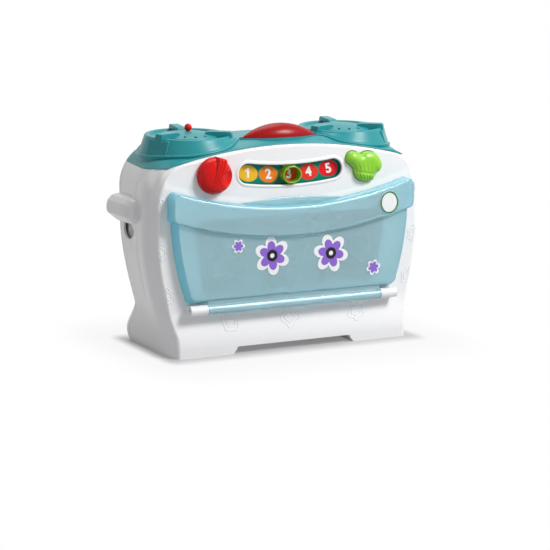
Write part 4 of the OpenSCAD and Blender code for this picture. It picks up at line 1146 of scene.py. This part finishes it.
class OVEN_OT_numbers(Operator):
    """Coloured discs with the numerals 1 to 5 on the panel behind the slot"""

    bl_idname = "oven.numbers"
    bl_label = "Numbers"

    def execute(self, context):
        colours = [(0.84, 0.48, 0.03), (0.80, 0.22, 0.02), (0.74, 0.085, 0.015), (0.76, 0.04, 0.02),
                   (0.72, 0.012, 0.02)]
        panel_y = node_box("number_panel")[0][1]
        ink = print_ink("numeral_white", (0.88, 0.88, 0.88))
        for k, disc_colour in enumerate(colours):
            turn = (k - 2) * STEP_TURN
            x, z = arc(0, SLOT_TOP, SLOT_R, turn - 90, turn - 90, 1)[0]
            place = Matrix.Translation((x, z, 0)) @ Matrix.Rotation(math.radians(turn - 7), 4, "Z")
            outline = [(place @ Vector((px, pz, 0))).xy for px, pz in oval(0, 0, 11.2, 8.4)]
            disc = prism(f"disc_{k + 1}", outline, panel_y - 0.08, panel_y - 0.02)
            finish(disc, "case", print_ink(f"disc_ink_{k + 1}", disc_colour), "panel_green")
            mark = numeral(str(k + 1), x, z, -turn, panel_y - 0.12, looks().numeral)
            if k == 0:
                flag = ((-3.3, 2.2), (-2.4, 3.2), (-0.6, 4.2), (-0.6, 2.2))
                flag = [(x + px - LEAN * pz, z + pz) for px, pz in flag]
                dress(prism("flag", flag, panel_y - 0.17, panel_y - 0.07), "case", ink, "shell_white")
            dress(mark, "case", ink, "shell_white")
        panel = frame["nodes"]["number_panel"]
        panel.data.materials.clear()
        panel.data.materials.append(look("panel"))
        return {"FINISHED"}


# ---------- grips and springs ----------


class OVEN_OT_grips(Operator):
    """Rounded side grips with a finger pocket beneath"""

    bl_idname = "oven.grips"
    bl_label = "Side grips"

    def execute(self, context):
        top, out, inner, bend = GRIP_LOW + GRIP_H, GRIP_OUT, BODY_W / 2 - 18, GRIP_LOW + 9
        outline = [(inner, GRIP_LOW), (out - 12, GRIP_LOW), (out - 1, bend), (out, GRIP_LOW + 12),
                   (out, top - 11), (out - 1.5, top - 6), (out - 6, top - 1.5), (out - 11, top), (inner, top)]
        stations = ((-37, 7, 3.5), (-35, 4, 2), (-31, 1.6, 0.8), (-25, 0.3, 0.2), (-18, 0, 0),
                    (GRIP_LEN / 2, 0, 0))
        rings = [[(x - drawn * (x > inner), GRIP_Y + y, z - low * (z > bend)) for x, z in outline]
                 for y, drawn, low in stations]
        grip = rounded(loft("grip", rings), 1.6, 4, 20)
        mouth, half = BACK_W / 2 - 4, POCKET_W / 2
        cup = box_piece("cup", (mouth - 10.5, GRIP_Y - half - 9, GRIP_LOW - POCKET_H - 3),
                        (mouth, GRIP_Y + half + 2, GRIP_LOW + 2))
        right = joined("right_grip_body", [grip, cut(cup, pocket_ball(0))])
        finish_white(mirrored(right, "left_grip_body"), "left_grip")
        finish_white(right, "right_grip")
        return {"FINISHED"}


def spring_tree():
    """Geometry Nodes tree of a coil of round wire about Z, from a spiral and a round section."""
    tree = bpy.data.node_groups.new("Spring", "GeometryNodeTree")
    kinds = {"Coils": "Float", "Radius": "Float", "Height": "Float", "Wire": "Float", "Material": "Material"}
    for label, kind in kinds.items():
        tree.interface.new_socket(name=label, in_out="INPUT", socket_type=f"NodeSocket{kind}")
    tree.interface.new_socket(name="Mesh", in_out="OUTPUT", socket_type="NodeSocketGeometry")
    size = add_node(tree, "NodeGroupInput")
    spiral = add_node(tree, "GeometryNodeCurveSpiral",
                      {"Resolution": 28, "Rotations": size["Coils"], "Start Radius": size["Radius"],
                       "End Radius": size["Radius"], "Height": size["Height"]})
    section = add_node(tree, "GeometryNodeCurvePrimitiveCircle",
                       {"Resolution": 10, "Radius": size["Wire"]})
    sweep = add_node(tree, "GeometryNodeCurveToMesh",
                     {"Fill Caps": True, "Curve": spiral["Curve"], "Profile Curve": section["Curve"]})
    real = add_node(tree, "GeometryNodeRealizeInstances", {"Geometry": sweep["Mesh"]})
    paint = add_node(tree, "GeometryNodeSetMaterial",
                     {"Geometry": real["Geometry"], "Material": size["Material"]})
    add_node(tree, "NodeGroupOutput", {"Mesh": paint["Geometry"]})
    return tree


def grown(name, tree, values, matrix):
    """Mesh object made by a tree from its named inputs, placed by a matrix in metres."""
    carrier = add_object(name, bpy.data.meshes.new(name))
    step = carrier.modifiers.new("Grow", "NODES")
    step.node_group = tree
    for item in tree.interface.items_tree:
        if item.in_out == "INPUT":
            step[item.identifier] = values[item.name]
    return settled(carrier, matrix)


class OVEN_OT_springs(Operator):
    """Coil springs behind the push button and under the ball"""

    bl_idname = "oven.springs"
    bl_label = "Return springs"

    def execute(self, context):
        tree, wire = spring_tree(), WIRE_R * MM
        low, high = (Vector(end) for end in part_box("press_spring"))
        middle = (low + high) / 2
        pressed = Matrix.Translation((middle.x, low.y + wire, middle.z))
        pressed @= Matrix.Rotation(-math.pi / 2, 4, "X")
        under_ball = ring_place(-1)
        under_ball.translation *= MM
        under_ball @= Matrix.Translation((0, 0, BALL_COIL_LOW * MM + wire))
        for node, radius, tall, place in (("press_spring", PRESS_COIL_R, high.y - low.y, pressed),
                                          ("ball_spring", BALL_COIL_R, BALL_COIL_H * MM, under_ball)):
            values = {"Coils": float(looks().coils), "Radius": radius * MM, "Height": tall - 2 * wire,
                      "Wire": wire, "Material": steel()}
            coil = grown(f"{node}_coil", tree, values, place)
            coil.data.shade_smooth()
            dress(coil, "case", steel(), "metal", node)
        return {"FINISHED"}


# ---------- raised line figures ----------


def corner_point(x, z):
    """Point on the right front corner at height z, x round it from the face's edge, a little narrowed."""
    s = 0.8 * x
    turn = clamp01(s / 33) * math.pi / 2
    y = FACE_Y + looks().edge / MM * (1 - math.cos(turn))
    x = half_at(z, y) * (1 - FACE_REACH * (1 - math.sin(turn)) * 2 / BODY_W)
    return Vector((x - side_dent(y, z) + min(0, s), y - kick_at(y, z), z))


def corner_normal(p):
    edge = looks().edge / MM
    c = clamp01(1 - (p.y - FACE_Y) / edge)
    return Vector((edge * math.sqrt(1 - c * c), -FACE_REACH * c, 0)).normalized()


def face_point(x, z):
    return Vector((x, FACE_Y - kick_at(FACE_Y, z), z))


def face_normal(p):
    return Vector((0, -1, 0))


def raised_star(place, normal, x, z, outer, inner, points):
    """Beads along a star on a wall, large and small, sunk so that only their crowns show."""
    lines = []
    for scale in (1.0, 0.55):
        curve = bpy.data.curves.new("figure", "CURVE")
        curve.dimensions = "3D"
        curve.bevel_depth, curve.bevel_resolution = 0.0006, 2
        outline = [place(*p) for p in star(x, z, outer * scale, inner * scale, points, 90, 48 // points)]
        spline = curve.splines.new("POLY")
        spline.points.add(len(outline) - 1)
        spline.use_cyclic_u = True
        for point, p in zip(spline.points, outline):
            point.co = (*(p * MM - normal(p) * (curve.bevel_depth - looks().relief)), 1)
        lines.append(settled(add_object("figure", curve), Matrix.Identity(4)))
    return lines


class OVEN_OT_reliefs(Operator):
    """Faint raised outlines on the front's foot and on both front corners"""

    bl_idname = "oven.reliefs"
    bl_label = "Raised outlines"

    def execute(self, context):
        parts = []
        for figure in ((-71, 33, 10.5, 8.4, 5), (-3, 31.5, 10.5, 7.5, 4), (75, 32, 10.5, 7.4, 6)):
            parts += raised_star(face_point, face_normal, *figure)
        for z, points in ((155, 4), (109.5, 6), (64.5, 5)):
            right = raised_star(corner_point, corner_normal, -1, z, 9, 6.5, points)
            parts += right + [mirrored(line, "figure") for line in right]
        finish_white(joined("raised_outlines", parts), angle=60)
        return {"FINISHED"}


# ---------- carried-over pieces ----------


class OVEN_OT_inner_parts(Operator):
    """Finishes of the pieces that keep the frame's shape"""

    bl_idname = "oven.inner_parts"
    bl_label = "Inner parts"

    def execute(self, context):
        finishes = (
            (plastic("board_mask", (0.012, 0.13, 0.05), 0.4, tint=0.2, grain=0.1, grain_scale=600),
             "light_board slider_board control_board ball_board main_board"),
            (plastic("black_plastic", (0.02, 0.02, 0.022), 0.5),
             "rotary_switch press_switch ball_switch speaker_frame battery_box power_knob power_switch"),
            (steel(), "knob_shaft hinge_rod liner_screws control_board_screws main_board_screws"
                      " battery_contacts battery_door_screw shell_screws"),
            (metal("brass", (0.75, 0.52, 0.18)), "slider_contact"),
            (plastic("cone_paper", (0.02, 0.02, 0.02), 0.8, grain=0.5, grain_scale=900), "speaker_cone"),
            (look("white"), "speaker_clamp battery_door"),
            (plastic("liner_plastic", (0.80, 0.81, 0.82), 0.45, tint=0.02), "oven_liner"),
            (plastic("cell_sleeve", (0.05, 0.05, 0.06), 0.3, coat=0.5), "batteries"),
            (plastic("red_wire", (0.5, 0.02, 0.02), 0.4), "battery_wires"),
            (plastic("black_wire", (0.02, 0.02, 0.02), 0.4), "speaker_wires"),
        )
        for material, names in finishes:
            for name in names.split():
                mesh = frame["nodes"][name].data
                mesh.materials.clear()
                mesh.materials.append(material)
                crisp(mesh, 35)
        return {"FINISHED"}


# ---------- stage ----------


def seen_rays(tree):
    """1 for rays that the eye follows: straight, mirrored or through something clear."""
    path = add_node(tree, "ShaderNodeLightPath")
    total = path["Is Camera Ray"]
    for label in ("Is Glossy Ray", "Is Transmission Ray"):
        total = add_node(tree, "ShaderNodeMath", {0: total, 1: path[label]}, operation="MAXIMUM")["Value"]
    return total


def card_material():
    """Card: near the toy it shows the lamps' real shadows plus a painted shade that darkens it towards the
    toy's footprint; further off it stays plain white.
    """
    material, tree, shader = start_material("card")
    # Dark grey base, so that the lit card near the toy reads grey: painted shade on a floor that is white
    feed(tree, shader, {"Base Color": (0.42, 0.42, 0.43, 1), "Roughness": 0.75})
    away = add_node(tree, "ShaderNodeTexCoord")["Object"]
    for operation, amount in (("ABSOLUTE", (0, 0, 0)), ("SUBTRACT", (0.138, 0.058, 0)),
                              ("MAXIMUM", (0, 0, 0)), ("MULTIPLY", (2, 1, 0))):
        away = add_node(tree, "ShaderNodeVectorMath", {0: away, 1: amount}, operation=operation)["Vector"]
    away = add_node(tree, "ShaderNodeVectorMath", {0: away}, operation="LENGTH")["Value"]
    # White share grows with distance from the toy's footprint: close in, the lamps' real shadows and the
    # painted shade show; further off, plain white
    labels = ("From Min", "From Max", "To Min", "To Max")
    painted_shade_steps = [add_node(tree, "ShaderNodeMapRange", {**dict(zip(labels, values)), "Value": away},
                      interpolation_type="SMOOTHSTEP")["Result"]
             for values in ((0.0, 0.035, 0.2, 0.9), (0.035, 0.15, 0.0, 0.1))]
    painted_shade_fade = add_node(tree, "ShaderNodeMath", {0: painted_shade_steps[0], 1: painted_shade_steps[1]}, operation="ADD")["Value"]
    seen = add_node(tree, "ShaderNodeMath", {0: painted_shade_fade, 1: seen_rays(tree)}, operation="MULTIPLY")["Value"]
    glow = add_node(tree, "ShaderNodeEmission", {"Strength": 1.0})["Emission"]
    blend = add_node(tree, "ShaderNodeMixShader", {"Fac": seen, 1: shader.outputs["BSDF"], 2: glow})
    feed(tree, tree.nodes["Material Output"], {"Surface": blend["Shader"]})
    return material


def look_at(obj, place, target):
    obj.location = place
    obj.rotation_euler = (Vector(target) - obj.location).to_track_quat("-Z", "Y").to_euler()


class OVEN_OT_stage(Operator):
    """White card, soft lamps, plain world and the camera"""

    bl_idname = "oven.stage"
    bl_label = "Stage"

    def execute(self, context):
        scene, far = context.scene, CARD_HALF
        ends = [(-far, -far, 0), (far, -far, 0), (far, far, 0), (-far, far, 0)]
        card = piece("card", ends, [(0, 1, 2, 3)])
        card.data.materials.append(card_material())
        scene.world = bpy.data.worlds.new("plain_world")
        scene.world.use_nodes = True
        tree = scene.world.node_tree
        strength = add_node(tree, "ShaderNodeMapRange",
                            {"To Min": 0.33, "To Max": 1.0, "Value": seen_rays(tree)})
        feed(tree, tree.nodes["Background"], {"Strength": strength["Result"], "Color": (1, 1, 1, 1)})
        for name, place, target, size, power in (("key", (0.75, -1.0, 1.25), (0, 0, 0.1), 0.6, 25.5),
                                                 ("fill", (-1.3, -0.9, 0.7), (0, 0, 0.1), 1.2, 1.5),
                                                 ("top", (0.1, 0.5, 1.4), (0, 0, 0.15), 1.0, 6)):
            lamp = bpy.data.lights.new(name, "AREA")
            lamp.shape, lamp.size, lamp.energy = "DISK", size, power
            look_at(add_object(name, lamp), place, target)
        lens = bpy.data.cameras.new("camera")
        lens.lens, lens.sensor_width, lens.clip_end = 134.7, 36, 20
        scene.camera = add_object("camera", lens)
        look_at(scene.camera, (-0.9755, -1.9109, 0.4475), (0.0112, 0.0065, 0.0653))
        scene.view_settings.view_transform = "Standard"
        return {"FINISHED"}


PIECES = (
    OVEN_OT_front_shell, OVEN_OT_rear_shell, OVEN_OT_hob, OVEN_OT_lens, OVEN_OT_door, OVEN_OT_prints,
    OVEN_OT_knob, OVEN_OT_push_button, OVEN_OT_ball, OVEN_OT_slider, OVEN_OT_numbers, OVEN_OT_grips,
    OVEN_OT_springs, OVEN_OT_reliefs, OVEN_OT_inner_parts, OVEN_OT_stage,
)


class OVEN_PT_panel(Panel):
    """Lists the toy oven's pieces"""

    bl_label = "Toy Oven"
    bl_idname = "OVEN_PT_panel"
    bl_space_type = "VIEW_3D"
    bl_region_type = "UI"
    bl_category = "Toy Oven"

    def draw(self, context):
        for prop in OvenLooks.__annotations__:
            self.layout.prop(context.scene.oven_looks, prop)
        for operator in PIECES:
            self.layout.operator(operator.bl_idname)


CLASSES = (OvenLooks, *PIECES, OVEN_PT_panel)


def register():
    for cls in CLASSES:
        bpy.utils.register_class(cls)
    bpy.types.Scene.oven_looks = PointerProperty(type=OvenLooks)


def unregister():
    del bpy.types.Scene.oven_looks
    for cls in reversed(CLASSES):
        bpy.utils.unregister_class(cls)


def main():
    register()
    for operator in PIECES:
        group, name = operator.bl_idname.split(".")
        getattr(getattr(bpy.ops, group), name)()


if __name__ == "__main__":
    main()
